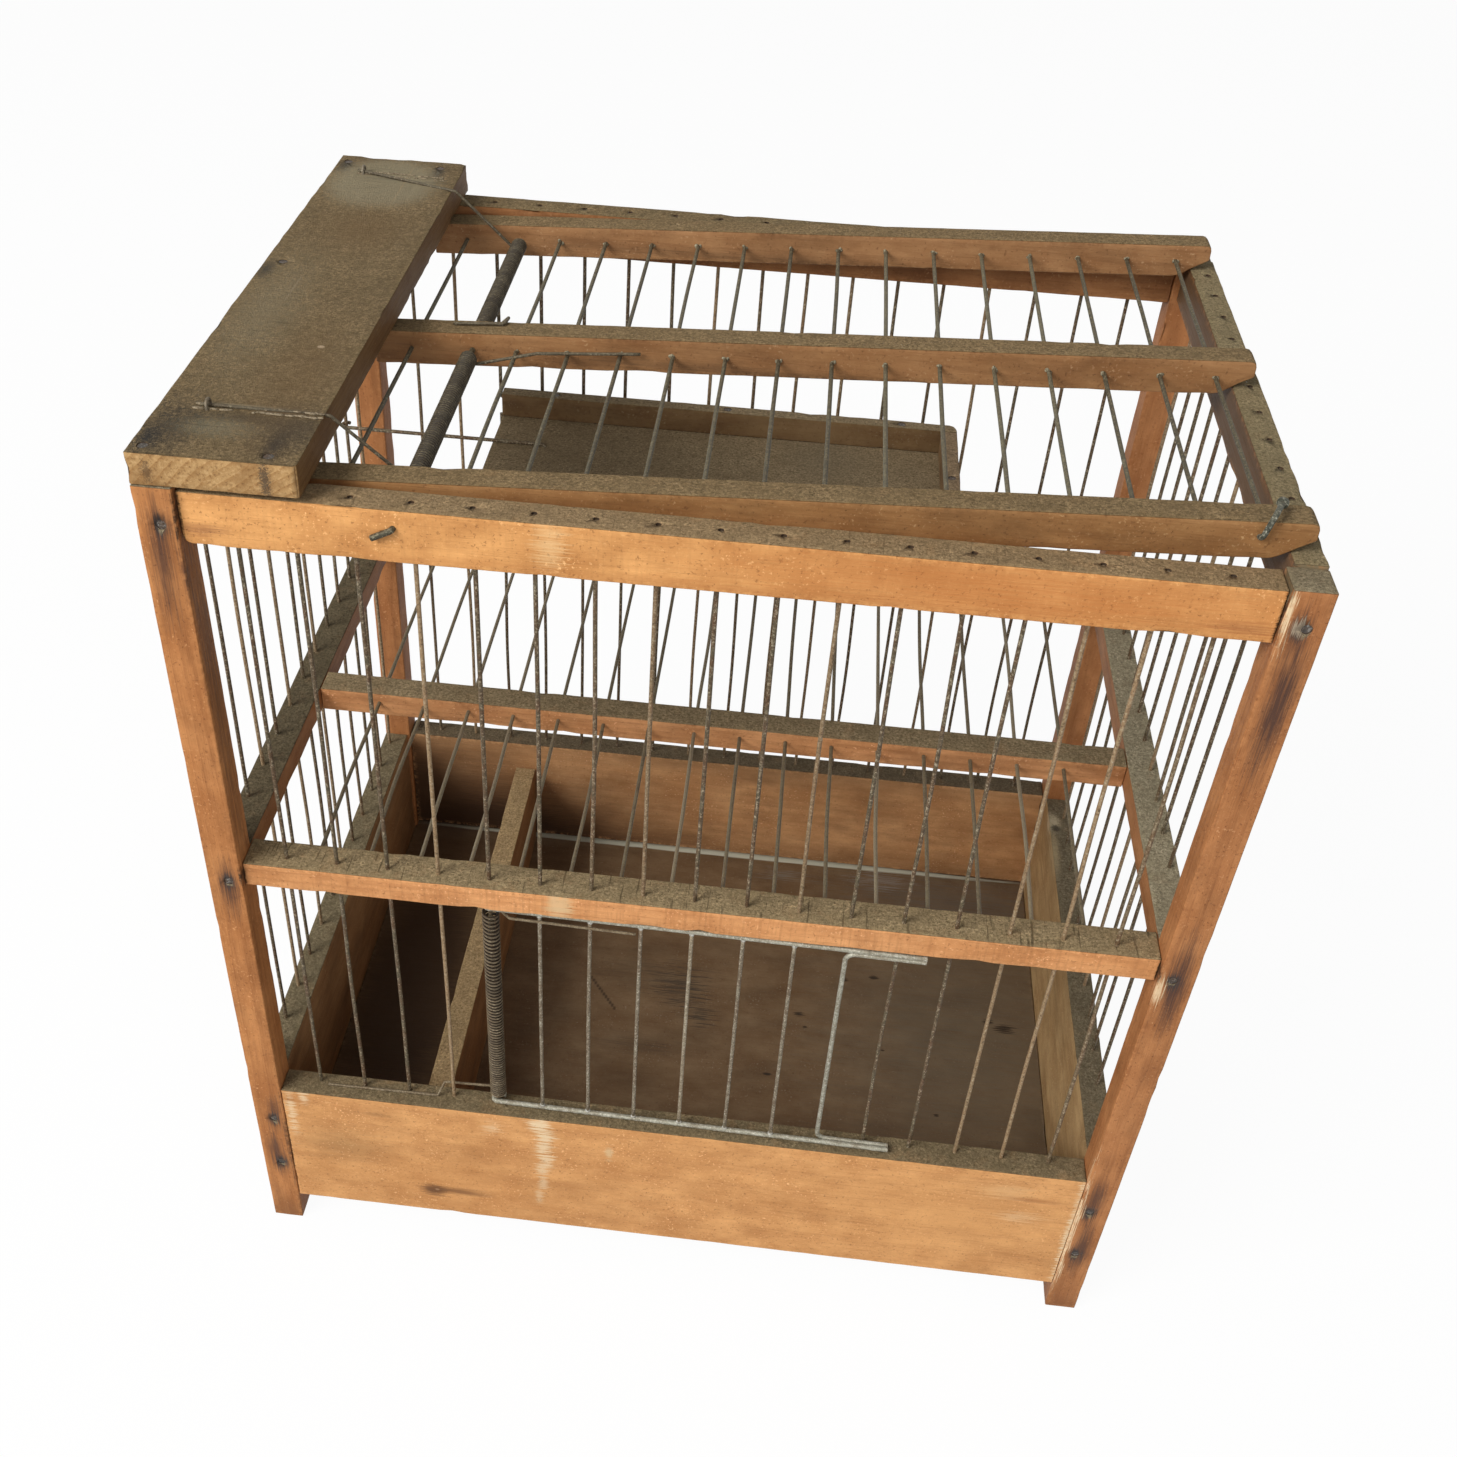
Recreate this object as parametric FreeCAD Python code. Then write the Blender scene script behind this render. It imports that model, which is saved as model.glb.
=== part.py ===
import FreeCAD, Part
import math
import os

os.makedirs("parts", exist_ok=True)

Vector = FreeCAD.Vector

# Sizes are in millimetres: X runs to the right, Y to the rear and Z up.
# Pieces are drawn from the front left foot, and save() moves them to the middle of the base.

# Whole cage
cage_width = 385.0
cage_depth = 267.0
post_height = 407.0
post_size = 14.0
overrun = 1.0

# Boards of the base
board_top = 97.5
board_bottom = 18.5
board_thickness = 12.5
board_setback = 0.2
floor_thickness = 9.0
rear_board_gap = 2.5
divider_left = 74.5
divider_thickness = 11.5
divider_top = 80.0

# Middle rails, with the rail that crosses the cage at mid depth
mid_rail_bottom = 224.0
mid_rail_height = 12.0
front_mid_rail_depth = 15.0
front_mid_rail_setback = 2.7
side_mid_rail_width = 13.5
rear_mid_rail_depth = 13.0
cross_rail_front = 116.0
cross_rail_depth = 13.0

# Top rails and the plank
front_top_rail_drop = 2.0
front_top_rail_height = 20.5
top_rail_depth = 12.8
front_top_rail_setback = 2.3
rear_top_rail_setback = 0.2
rear_top_rail_height = 20.0
top_rail_end_round = 4.0
left_top_rail_width = 12.0
left_top_rail_height = 20.0
right_top_rail_width = 11.5
right_top_rail_height = 19.0
right_top_rail_rise = 1.0
plank_width = 57.0
plank_thickness = 12.5
plank_rear_overhang = 3.0
plank_corner_round = 2.0

# Wires of the walls and of the grille
wire_radius = 0.85
wire_pitch = 20.25
wire_hole_clearance = 0.05
wire_top_sink = 0.8
wire_socket_depth = 12.0
wall_wire_margin = 10.0
front_wire_y = 8.2
rear_wire_inset = 6.8
side_wire_inset = 4.5
left_first_wire_y = 21.2
right_first_wire_y = 34.7
side_wire_margin = 5.0
grille_height_above_rail_foot = 7.0
grille_socket_depth = 7.0

# Door: its wires turn on the front wall wire that stands at hinge_index
hinge_index = 4
door_bar_count = 6
door_frame_radius = 1.1
door_bar_radius = 0.85
door_edge_radius = 1.0
door_edge_bend = 4.0
door_gap = 1.0
door_lap_beyond_stop = 11.0
door_stop_gap = 0.3
door_eye_clearance = 0.05
door_eye_tail = 3.0
solder_gap = 0.02

# Lid: three bars that turn on a wire axle, tipped up to the right at rest
lid_axle_x = 86.0
lid_axle_drop = 9.0
lid_axle_radius = 1.1
lid_axle_clearance = 0.06
lid_axle_bend = 1.2
lid_axle_foot = 8.0
lid_axle_foot_fall = 27.0
lid_axle_socket = 8.0
lid_rest_angle = 2.8
lid_bar_width = 11.5
lid_bar_height = 14.0
lid_bar_tail = 39.0
lid_tip_inset = 4.5
lid_bevel_angle = 30.0
lid_rest_gap = 0.3
lid_front_bar_y = 20.0
lid_middle_bar_y = 133.0
lid_rear_bar_gap = 0.8
lid_first_wire = 17.4
lid_last_wire_margin = 5.0
lid_wire_socket = 7.5
lid_tail_wire = 24.0

# Bent nail at the right end of the lid's front bar
bent_nail_radius = 0.95
bent_nail_head_radius = 1.9
bent_nail_head_thickness = 1.0
bent_nail_from_tip = 18.0
bent_nail_lean = 6.0
bent_nail_upright_share = 0.4
bent_nail_high = 1.5
bent_nail_standout = 2.4
bent_nail_rise = 3.4
bent_nail_bend = 2.5
bent_nail_socket = 8.0

# Springs of the lid
lid_spring_wire_radius = 0.65
lid_spring_radius = 2.85
lid_spring_gap = 0.3
front_spring_bar_gap = 4.5
front_spring_middle_gap = 7.0
front_spring_turns = 31
rear_spring_bar_gap = 4.7
rear_spring_middle_gap = 4.5
rear_spring_turns = 30
plank_edge_reach = 2.0
spring_arm_bend = 3.0
front_plank_arm_x = 15.0
front_plank_arm_bar_gap = 1.5
rear_plank_arm_x = 12.5
rear_plank_arm_from_post = 3.0
front_lid_arm_hump = 26.0
front_lid_arm_hump_rise = 4.3
front_lid_arm_end = 66.0
front_lid_arm_bar_gap = 2.0
rear_lid_arm_reach = 13.0
rear_lid_arm_back = 8.0
rear_lid_arm_inset = 5.5
rear_lid_arm_bend = 2.0

# Staples that hold the spring arms on the plank
staple_radius = 0.6
staple_leg = 7.0
staple_from_end = 2.5

# Spring of the door
door_spring_wire_radius = 0.6
door_spring_radius = 2.9
door_spring_turns = 36
door_spring_foot_gap = 2.2
door_spring_head_gap = 1.7
door_spring_leave_angle = 45.0
door_arm_end = 59.0
door_arm_bend = 1.6
board_arm_hook = 25.5
board_arm_side = 26.5
board_arm_end = 77.0
board_arm_gap = 0.3
board_arm_wire_gap = 0.9

# Tray, hung on two cut wires of the rear wall
tray_first_hook_index = 2
tray_hook_count = 2
tray_left_from_hook = 3.0
tray_length = 215.0
tray_depth = 90.0
tray_from_rear_wires = 7.0
tray_floor_above_mid_rails = 72.0
tray_floor_thickness = 4.5
tray_rim_height = 12.0
tray_back_rim_thickness = 7.0
tray_right_rim_thickness = 7.5
tray_rim_round = 5.5
tray_pin_above_floor = 3.0
tray_pin_length = 7.0
tray_pin_bend = 1.6
tray_eye_radius = 0.7
tray_eye_clearance = 0.06
tray_eye_socket = 6.0
cut_wire_gap = 1.0
tie_wire_from_tray_back = 25.0
tie_wire_loop_gap = 0.6
tie_wire_reach = 25.0
tie_wire_bend = 2.0
tie_wire_leg = 6.0
tie_hole_clearance = 0.9
tie_wire_loop_turn = 200.0

# Nails
nail_radius = 0.8
nail_head_radius = 1.7
nail_head_thickness = 1.0
nail_sink = 0.3
nail_clearance = 0.05
nail_length = 28.0
nail_inset = 8.5
top_nail_inset = 6.0
nail_level_step = 4.0
board_nail_rise_share = 0.32
board_nail_upper_share = 0.73
cross_nail_inset = 3.5
floor_nail_first_share = 0.3
floor_nail_second_share = 0.7
plank_nail_inset = 5.0
plank_nail_right_inset = 10.5
plank_nail_middle_share = 0.57
tray_nail_length = 14.0
tray_nail_eye_gap = 4.25
tray_nail_end_inset = 25.8
tray_side_nail_share = 0.45

# Tests of the tubes
straight_angle = 0.01
tube_volume_share = 0.01
gap_points_per_edge = 6
gap_points_ahead = 60
gap_skip_radii = 8

# Places worked out from the sizes above
left_post_face = post_size
right_post_face = cage_width - post_size
front_post_face = post_size
rear_post_face = cage_depth - post_size
floor_top = board_bottom + floor_thickness
mid_rail_top = mid_rail_bottom + mid_rail_height
front_top_rail_top = post_height - front_top_rail_drop
lid_axle_z = post_height - lid_axle_drop
right_rail_top = post_height + right_top_rail_rise
right_rail_face = cage_width - right_top_rail_width
rear_wire_y = cage_depth - rear_wire_inset
left_wire_x = side_wire_inset
right_wire_x = cage_width - side_wire_inset
grille_z = mid_rail_bottom + grille_height_above_rail_foot
plank_top = post_height + plank_thickness
plank_length = cage_depth + plank_rear_overhang
wire_foot_z = board_top - wire_socket_depth

wall_wire_room = right_post_face - left_post_face - 2 * wall_wire_margin
front_wire_count = int(wall_wire_room / wire_pitch) + 1
first_wire_x = cage_width / 2 - (front_wire_count - 1) * wire_pitch / 2
left_wire_count = int((rear_post_face - side_wire_margin - left_first_wire_y) / wire_pitch) + 1
right_wire_count = int((rear_post_face - side_wire_margin - right_first_wire_y) / wire_pitch) + 1


def front_wire_x(index):
    return first_wire_x + index * wire_pitch


def left_wire_y(index):
    return left_first_wire_y + index * wire_pitch


def right_wire_y(index):
    return right_first_wire_y + index * wire_pitch


hinge_x = front_wire_x(hinge_index)
door_edge_index = hinge_index + door_bar_count + 1
door_stop_index = door_edge_index + 1
tray_left = front_wire_x(tray_first_hook_index) + tray_left_from_hook
tray_right = tray_left + tray_length
tray_back = rear_wire_y - tray_from_rear_wires
tray_front = tray_back - tray_depth
tray_floor_top = mid_rail_top + tray_floor_above_mid_rails
tray_pin_z = tray_floor_top + tray_pin_above_floor
tie_wire_index = int((tray_back - tie_wire_from_tray_back - left_first_wire_y) / wire_pitch)
lid_rear_bar_y = rear_post_face - lid_rear_bar_gap - lid_bar_width
front_spring_start_y = lid_front_bar_y + lid_bar_width + front_spring_bar_gap
front_spring_end_y = lid_middle_bar_y - front_spring_middle_gap
rear_spring_start_y = lid_rear_bar_y - rear_spring_bar_gap
rear_spring_end_y = lid_middle_bar_y + lid_bar_width + rear_spring_middle_gap
front_plank_arm_y = lid_front_bar_y + lid_bar_width + front_plank_arm_bar_gap
rear_plank_arm_y = rear_post_face - rear_plank_arm_from_post
lid_tip = (cage_width - lid_tip_inset - lid_axle_x) / math.cos(math.radians(lid_rest_angle))


def save(name, solids):
    whole = Part.makeCompound(solids) if len(solids) > 1 else solids[0]
    whole = whole.copy()
    whole.translate(Vector(-cage_width / 2, -plank_length / 2, 0))
    whole.exportStep("parts/" + name + ".step")


def block(x_low, x_high, y_low, y_high, z_low, z_high):
    corner = Vector(x_low, y_low, z_low)
    return Part.makeBox(x_high - x_low, y_high - y_low, z_high - z_low, corner)


def rod(start, end, radius):
    run = end - start
    return Part.makeCylinder(radius, run.Length, start, run)


def arc_between(start, tangent, end):
    """An arc that leaves start along tangent and ends at end."""
    chord = end - start
    along = Vector(chord).normalize()
    unit = Vector(tangent).normalize()
    angle = math.acos(max(-1.0, min(1.0, unit.dot(along))))
    side = unit - along * unit.dot(along)
    if side.Length < math.sin(math.radians(straight_angle)):
        return Part.LineSegment(start, end).toShape()
    side.normalize()
    middle = (start + end) / 2 + side * (chord.Length / 2 * math.tan(angle / 2))
    return Part.Arc(start, middle, end).toShape()


def biarc(start, start_tangent, end, end_tangent):
    """Two arcs that join start to end and keep both tangents."""
    chord = end - start
    both = start_tangent + end_tangent
    spread = 2 * (1 - start_tangent.dot(end_tangent))
    reach = (-chord.dot(both) + math.sqrt(chord.dot(both) ** 2 + spread * chord.dot(chord))) / spread
    joint = (start + end + (start_tangent - end_tangent) * reach) / 2
    joint_tangent = joint - (start + start_tangent * reach)
    first = arc_between(start, start_tangent, joint)
    second = arc_between(joint, joint_tangent, end)
    return [first, second]


def bent_edges(points, bend):
    """Straight runs through points, joined by arcs of the given bend radius."""
    edges = []
    here = points[0]
    for index in range(1, len(points) - 1):
        corner = points[index]
        inward = (corner - points[index - 1]).normalize()
        outward = (points[index + 1] - corner).normalize()
        turn = inward.getAngle(outward)
        setback = bend * math.tan(turn / 2)
        arc_start = corner - inward * setback
        arc_end = corner + outward * setback
        edges.append(Part.LineSegment(here, arc_start).toShape())
        edges.append(arc_between(arc_start, inward, arc_end))
        here = arc_end
    edges.append(Part.LineSegment(here, points[-1]).toShape())
    return edges


def sweep(edges, radius):
    """A round tube along the edges, checked against its section times its length."""
    spine = Part.Wire(edges)
    first = edges[0]
    start = first.valueAt(first.FirstParameter)
    tangent = first.tangentAt(first.FirstParameter)
    ring = Part.Wire([Part.Circle(start, tangent, radius).toShape()])
    tube = spine.makePipeShell([ring], True, False)
    solid = tube if tube.ShapeType == "Solid" else tube.Solids[0]
    share = solid.Volume / (math.pi * radius ** 2 * spine.Length)
    if abs(share - 1) > tube_volume_share or not solid.isValid():
        print("tube differs from its section times its length:", round(share, 4), solid.isValid())
    return solid


def bent_rod(points, bend, radius):
    return sweep(bent_edges(points, bend), radius)


class Coil:
    """A helix round an axis: angles grow from side towards up, in radians."""

    def __init__(self, start, end, side, up, radius, first_angle, turns):
        self.start = start
        self.run = end - start
        self.side = side
        self.up = up
        self.radius = radius
        self.first_angle = first_angle
        self.sweep_angle = turns * 2 * math.pi

    def place(self, share):
        angle = self.first_angle + share * self.sweep_angle
        arm = self.side * math.cos(angle) + self.up * math.sin(angle)
        return self.start + self.run * share + arm * self.radius

    def tangent(self, share):
        angle = self.first_angle + share * self.sweep_angle
        arm = self.up * math.cos(angle) - self.side * math.sin(angle)
        return (arm * (self.radius * self.sweep_angle) + self.run).normalize()

    def edges(self):
        steps = math.ceil(self.sweep_angle / (math.pi / 2))
        result = []
        for step in range(steps):
            low = step / steps
            high = (step + 1) / steps
            result += biarc(self.place(low), self.tangent(low), self.place(high), self.tangent(high))
        return result


def spring(name, lead_in, coil, lead_out, bend, radius):
    """One unbroken tube: an arm, the coil and the other arm. Prints its curls and its least gap."""
    start = coil.place(0)
    end = coil.place(1)
    edges = bent_edges(lead_in + [start], bend) + coil.edges() + bent_edges([end] + lead_out, bend)
    curls = coil.sweep_angle / (2 * math.pi)
    print(name, "curls", round(curls, 2), "least gap", round(least_gap(edges, radius), 3))
    return sweep(edges, radius)


def least_gap(edges, radius):
    """Least gap of a tube to itself, between points that lie over half a curl apart."""
    points = []
    for edge in edges:
        points += edge.discretize(Number=gap_points_per_edge)[:-1]
    travelled = [0.0]
    for index in range(1, len(points)):
        travelled.append(travelled[-1] + points[index].distanceToPoint(points[index - 1]))
    skip = radius * gap_skip_radii
    closest = travelled[-1]
    for index in range(len(points)):
        for other in range(index + 1, min(index + gap_points_ahead, len(points))):
            if travelled[other] - travelled[index] > skip:
                closest = min(closest, points[index].distanceToPoint(points[other]))
    return closest - 2 * radius


def nail(point, direction, length):
    """A nail whose head is sunk a little below point, driven along direction."""
    head_start = point + direction * nail_sink
    head = Part.makeCylinder(nail_head_radius, nail_head_thickness, head_start, direction)
    shank = Part.makeCylinder(nail_radius, length, head_start, direction)
    return head.fuse(shank).removeSplitter().Solids[0]


def nail_hole(point, direction, length):
    mouth = point - direction * overrun
    head_depth = overrun + nail_sink + nail_head_thickness
    head = Part.makeCylinder(nail_head_radius + nail_clearance, head_depth, mouth, direction)
    shank_depth = overrun + nail_sink + length + nail_clearance
    shank = Part.makeCylinder(nail_radius + nail_clearance, shank_depth, mouth, direction)
    return head.fuse(shank)


def wire_hole(start, end, radius=wire_radius, clearance=wire_hole_clearance):
    return rod(start, end, radius + clearance)


def near(shape, other):
    return shape.BoundBox.intersect(other.BoundBox)


def drill(timber, cutters):
    cutting = [cutter for cutter in cutters if near(timber, cutter)]
    if cutting:
        timber = timber.cut(cutting)
    return timber.Solids[0]


# Places on the lid, which is drawn flat and then tipped up by its rest angle

def lid_point(along, y, up):
    angle = math.radians(lid_rest_angle)
    x = lid_axle_x + along * math.cos(angle) - up * math.sin(angle)
    z = lid_axle_z + along * math.sin(angle) + up * math.cos(angle)
    return Vector(x, y, z)


def tip_up(shape):
    """Tip a piece of the flat lid up to its rest angle."""
    shape.rotate(Vector(lid_axle_x, 0, lid_axle_z), Vector(0, -1, 0), lid_rest_angle)
    return shape


# Places on the door, whose wires run out from the hinge and lean forward a little

door_eye_radius = wire_radius + door_eye_clearance + door_frame_radius
door_stop_reach = front_wire_x(door_stop_index) - hinge_x
door_edge_offset = door_frame_radius + solder_gap + door_edge_radius
door_stop_offset = wire_radius + door_stop_gap + door_edge_radius + door_edge_offset - door_eye_radius
door_lean = math.asin(door_stop_offset / door_stop_reach)
door_length = door_stop_reach + door_lap_beyond_stop
door_bottom_z = board_top + door_gap + door_frame_radius
door_top_z = mid_rail_bottom - door_gap - door_frame_radius


def door_point(along, across, z):
    """A place on the door: along it from the hinge, and across it to the rear."""
    x = hinge_x + along * math.cos(door_lean) + across * math.sin(door_lean)
    y = front_wire_y - along * math.sin(door_lean) + across * math.cos(door_lean)
    return Vector(x, y, z)


# Frame of the cage

def nail_levels():
    """Heights of the nails through each post: two in the board, one in each rail."""
    board_height = board_top - board_bottom
    levels = [board_bottom + board_height * board_nail_rise_share]
    levels.append(board_bottom + board_height * board_nail_upper_share)
    levels.append(mid_rail_bottom + mid_rail_height / 2 - nail_level_step / 2)
    levels.append(front_top_rail_top - front_top_rail_height / 2 - nail_level_step / 2)
    return levels


def end_nail_places():
    """Nails through the posts' front and rear faces into the side pieces."""
    places = []
    for front in (True, False):
        y = 0 if front else cage_depth
        direction = Vector(0, 1, 0) if front else Vector(0, -1, 0)
        for level, z in enumerate(nail_levels()):
            right_inset = top_nail_inset if level == len(nail_levels()) - 1 else nail_inset
            places.append((Vector(nail_inset, y, z), direction))
            places.append((Vector(cage_width - right_inset, y, z), direction))
    return places


def side_nail_places():
    """Nails through the side faces into the front, rear, cross and floor pieces."""
    places = []
    for left in (True, False):
        x = 0 if left else cage_width
        direction = Vector(1, 0, 0) if left else Vector(-1, 0, 0)
        for z in nail_levels():
            places.append((Vector(x, nail_inset, z + nail_level_step), direction))
            places.append((Vector(x, cage_depth - nail_inset, z + nail_level_step), direction))
        cross_y = cross_rail_front + cross_nail_inset
        places.append((Vector(x, cross_y, grille_z - nail_level_step / 2), direction))
        for share in (floor_nail_first_share, floor_nail_second_share):
            places.append((Vector(x, cage_depth * share, floor_top - floor_thickness / 2), direction))
    return places


def plank_nail_places():
    down = Vector(0, 0, -1)
    right = plank_width - plank_nail_right_inset
    front = plank_nail_inset
    rear = cage_depth - plank_nail_inset
    middle = cage_depth * plank_nail_middle_share
    spots = [(plank_nail_inset, front), (right, front), (plank_nail_inset, rear), (right, rear)]
    spots.append((left_top_rail_width / 2 + nail_head_radius, middle))
    return [(Vector(x, y, plank_top), down) for x, y in spots]


def nails(places, length):
    return [nail(point, direction, length) for point, direction in places]


def nail_holes(places, length):
    return [nail_hole(point, direction, length) for point, direction in places]


# Wall wires

def wire_top_z(rail_top):
    return rail_top - wire_top_sink


def wire_and_hole(start, end, open_top=True):
    """A wire with the hole that it needs, open at the top of the rail."""
    wire = rod(start, end, wire_radius)
    top = end + Vector(0, 0, wire_top_sink + overrun) if open_top else end
    return wire, wire_hole(start, top)


def front_wires():
    """Whole wires, the wires over the door and the door's axle, each with its holes."""
    whole = []
    short = []
    axle = []
    top = wire_top_z(front_top_rail_top)
    for index in range(front_wire_count):
        x = front_wire_x(index)
        over_door = hinge_index < index <= door_edge_index
        foot = mid_rail_top - grille_socket_depth if over_door else wire_foot_z
        pair = wire_and_hole(Vector(x, front_wire_y, foot), Vector(x, front_wire_y, top))
        if index == hinge_index:
            axle.append(pair)
        elif over_door:
            short.append(pair)
        else:
            whole.append(pair)
    return whole, short, axle


def tray_hook_indices():
    return range(tray_first_hook_index, tray_first_hook_index + tray_hook_count)


def rear_wires():
    """Whole wires and the stumps below the wires that were cut to carry the tray."""
    pairs = []
    stump_top = tray_pin_z - wire_radius - cut_wire_gap - tray_pin_length
    for index in range(front_wire_count):
        x = front_wire_x(index)
        foot = Vector(x, rear_wire_y, wire_foot_z)
        if index in tray_hook_indices():
            pairs.append(wire_and_hole(foot, Vector(x, rear_wire_y, stump_top), False))
        else:
            pairs.append(wire_and_hole(foot, Vector(x, rear_wire_y, wire_top_z(post_height))))
    return pairs


def tray_hooks():
    """Upper parts of the cut wires, bent to the right as pins for the tray."""
    pairs = []
    top_z = wire_top_z(post_height)
    for index in tray_hook_indices():
        x = front_wire_x(index)
        top = Vector(x, rear_wire_y, top_z)
        corner = Vector(x, rear_wire_y, tray_pin_z)
        end = Vector(x + tray_pin_length, rear_wire_y, tray_pin_z)
        hook = bent_rod([top, corner, end], tray_pin_bend, wire_radius)
        hole = wire_hole(corner + Vector(0, 0, tray_pin_bend), top + Vector(0, 0, wire_top_sink + overrun))
        pairs.append((hook, hole))
    return pairs


def side_wires(x, places, rail_top):
    pairs = []
    for y in places:
        foot = Vector(x, y, wire_foot_z)
        pairs.append(wire_and_hole(foot, Vector(x, y, wire_top_z(rail_top))))
    return pairs


def grille_wires():
    """Wires of the grille floor, from the front middle rail through the cross rail to the rear one."""
    pairs = []
    front = front_mid_rail_setback + front_mid_rail_depth - grille_socket_depth
    rear = cage_depth - board_setback - rear_mid_rail_depth + grille_socket_depth
    for index in range(front_wire_count - 1):
        x = front_wire_x(index) + wire_pitch / 2
        start = Vector(x, front, grille_z)
        end = Vector(x, rear, grille_z)
        pairs.append((rod(start, end, wire_radius), wire_hole(start, end)))
    return pairs


def solids_of(pairs):
    return [pair[0] for pair in pairs]


def holes_of(pairs):
    return [pair[1] for pair in pairs]


# Lid

def lid_axle():
    """The lid's axle, with its front end bent down on the face of the front top rail."""
    fall = math.radians(lid_axle_foot_fall)
    face = front_top_rail_setback - lid_axle_bend
    rear = cage_depth - rear_top_rail_setback - top_rail_depth + lid_axle_socket
    corner = Vector(lid_axle_x, face, lid_axle_z)
    foot = corner + Vector(-math.cos(fall), 0, -math.sin(fall)) * lid_axle_foot
    end = Vector(lid_axle_x, rear, lid_axle_z)
    axle = bent_rod([foot, corner, end], lid_axle_bend, lid_axle_radius)
    hole = rod(Vector(lid_axle_x, 0, lid_axle_z), end, lid_axle_radius + lid_axle_clearance)
    return axle, hole


def lid_wire_places():
    room = right_rail_face - lid_last_wire_margin - lid_axle_x - lid_first_wire
    count = int(room / wire_pitch) + 1
    return [lid_first_wire + index * wire_pitch for index in range(count)]


def lid_wire_ends(along):
    """Ends of a lid wire, which sits blind in the front and the rear bar."""
    front = lid_front_bar_y + lid_bar_width - lid_wire_socket
    rear = lid_rear_bar_y + lid_wire_socket
    x = lid_axle_x + along
    return Vector(x, front, lid_axle_z), Vector(x, rear, lid_axle_z)


def lid_wire(along):
    start, end = lid_wire_ends(along)
    return tip_up(rod(start, end, wire_radius))


def lid_bar_outline():
    """Corners of a bar in the flat lid, bevelled below its tip to rest on the right top rail."""
    angle = math.radians(lid_rest_angle)
    across = right_rail_face - lid_axle_x
    above = right_rail_top + lid_rest_gap - lid_axle_z
    rest_along = across * math.cos(angle) + above * math.sin(angle)
    rest_up = above * math.cos(angle) - across * math.sin(angle)
    slope = math.tan(math.radians(lid_bevel_angle))
    half = lid_bar_height / 2
    bevel_start = rest_along - (rest_up + half) / slope
    tip_up_low = rest_up + (lid_tip - rest_along) * slope
    low = [(-lid_bar_tail, -half), (bevel_start, -half), (lid_tip, tip_up_low)]
    return low + [(lid_tip, half), (-lid_bar_tail, half)]


def lid_bar(y, cutters):
    corners = [Vector(lid_axle_x + along, y, lid_axle_z + up) for along, up in lid_bar_outline()]
    face = Part.Face(Part.makePolygon(corners + corners[:1]))
    bar = face.extrude(Vector(0, lid_bar_width, 0))
    return tip_up(drill(bar, cutters))


def lid_cutters():
    """Holes for the axle, the wires and the bent nail, in the flat lid."""
    front = Vector(lid_axle_x, 0, lid_axle_z)
    rear = Vector(lid_axle_x, cage_depth, lid_axle_z)
    cutters = [rod(front, rear, lid_axle_radius + lid_axle_clearance)]
    for along in lid_wire_places() + [-lid_tail_wire]:
        start, end = lid_wire_ends(along)
        cutters.append(wire_hole(start, end))
    inner, outer = bent_nail_points()[:2]
    cutters.append(rod(inner, outer, bent_nail_radius + nail_clearance))
    return cutters


def bent_nail_points():
    """Path of the bent nail in the flat lid: out of the bar's front face, then up over its top."""
    along = lid_axle_x + lid_tip - bent_nail_from_tip
    foot = lid_axle_z + bent_nail_high
    out = lid_front_bar_y - bent_nail_standout
    top = lid_axle_z + lid_bar_height / 2 + bent_nail_rise
    inner = Vector(along, lid_front_bar_y + bent_nail_socket, foot)
    outer = Vector(along, out, foot)
    over = Vector(along + bent_nail_lean * bent_nail_upright_share, out, top)
    head = Vector(along + bent_nail_lean, lid_front_bar_y + lid_bar_width / 2, top)
    return [inner, outer, over, head]


def bent_nail():
    points = bent_nail_points()
    shank = bent_rod(points, bent_nail_bend, bent_nail_radius)
    direction = (points[-1] - points[-2]).normalize()
    head = Part.makeCylinder(bent_nail_head_radius, bent_nail_head_thickness, points[-1], direction)
    return tip_up(shank.fuse(head).Solids[0])


# Springs of the lid

def plank_arm_z():
    return plank_top + lid_spring_wire_radius + lid_spring_gap


def plank_side(coil_start_y, coil_end_y, turns, arm_x, arm_y, leave_angle):
    """A lid spring's coil with the arm that crosses the plank and falls to the coil."""
    edge_x = plank_width + plank_edge_reach
    edge_z = plank_arm_z()
    to_axle = Vector(lid_axle_x - edge_x, 0, lid_axle_z - edge_z)
    direction = math.atan2(to_axle.z, to_axle.x) - math.asin(lid_spring_radius / to_axle.Length)
    fall = math.sqrt(to_axle.Length ** 2 - lid_spring_radius ** 2)
    first_angle = direction - math.pi / 2
    last_angle = leave_angle - math.pi / 2
    extra = ((last_angle - first_angle) / (2 * math.pi)) % 1
    start = Vector(lid_axle_x, coil_start_y, lid_axle_z)
    end = Vector(lid_axle_x, coil_end_y, lid_axle_z)
    coil = Coil(start, end, Vector(1, 0, 0), Vector(0, 0, 1), lid_spring_radius, first_angle, turns + extra)
    tangent = coil.tangent(0)
    flat = math.sqrt(tangent.x ** 2 + tangent.z ** 2)
    edge = coil.place(0) - tangent * (fall / flat)
    return coil, [Vector(arm_x, arm_y, edge_z), edge]


def tangent_angle(point, radius):
    """Direction in which an arm leaves a coil, turning from X to Z, to pass through point."""
    distance = math.sqrt(point.x ** 2 + point.z ** 2)
    return math.atan2(point.z, point.x) + math.asin(radius / distance)


def from_axle(point):
    return point - Vector(lid_axle_x, 0, lid_axle_z)


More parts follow.
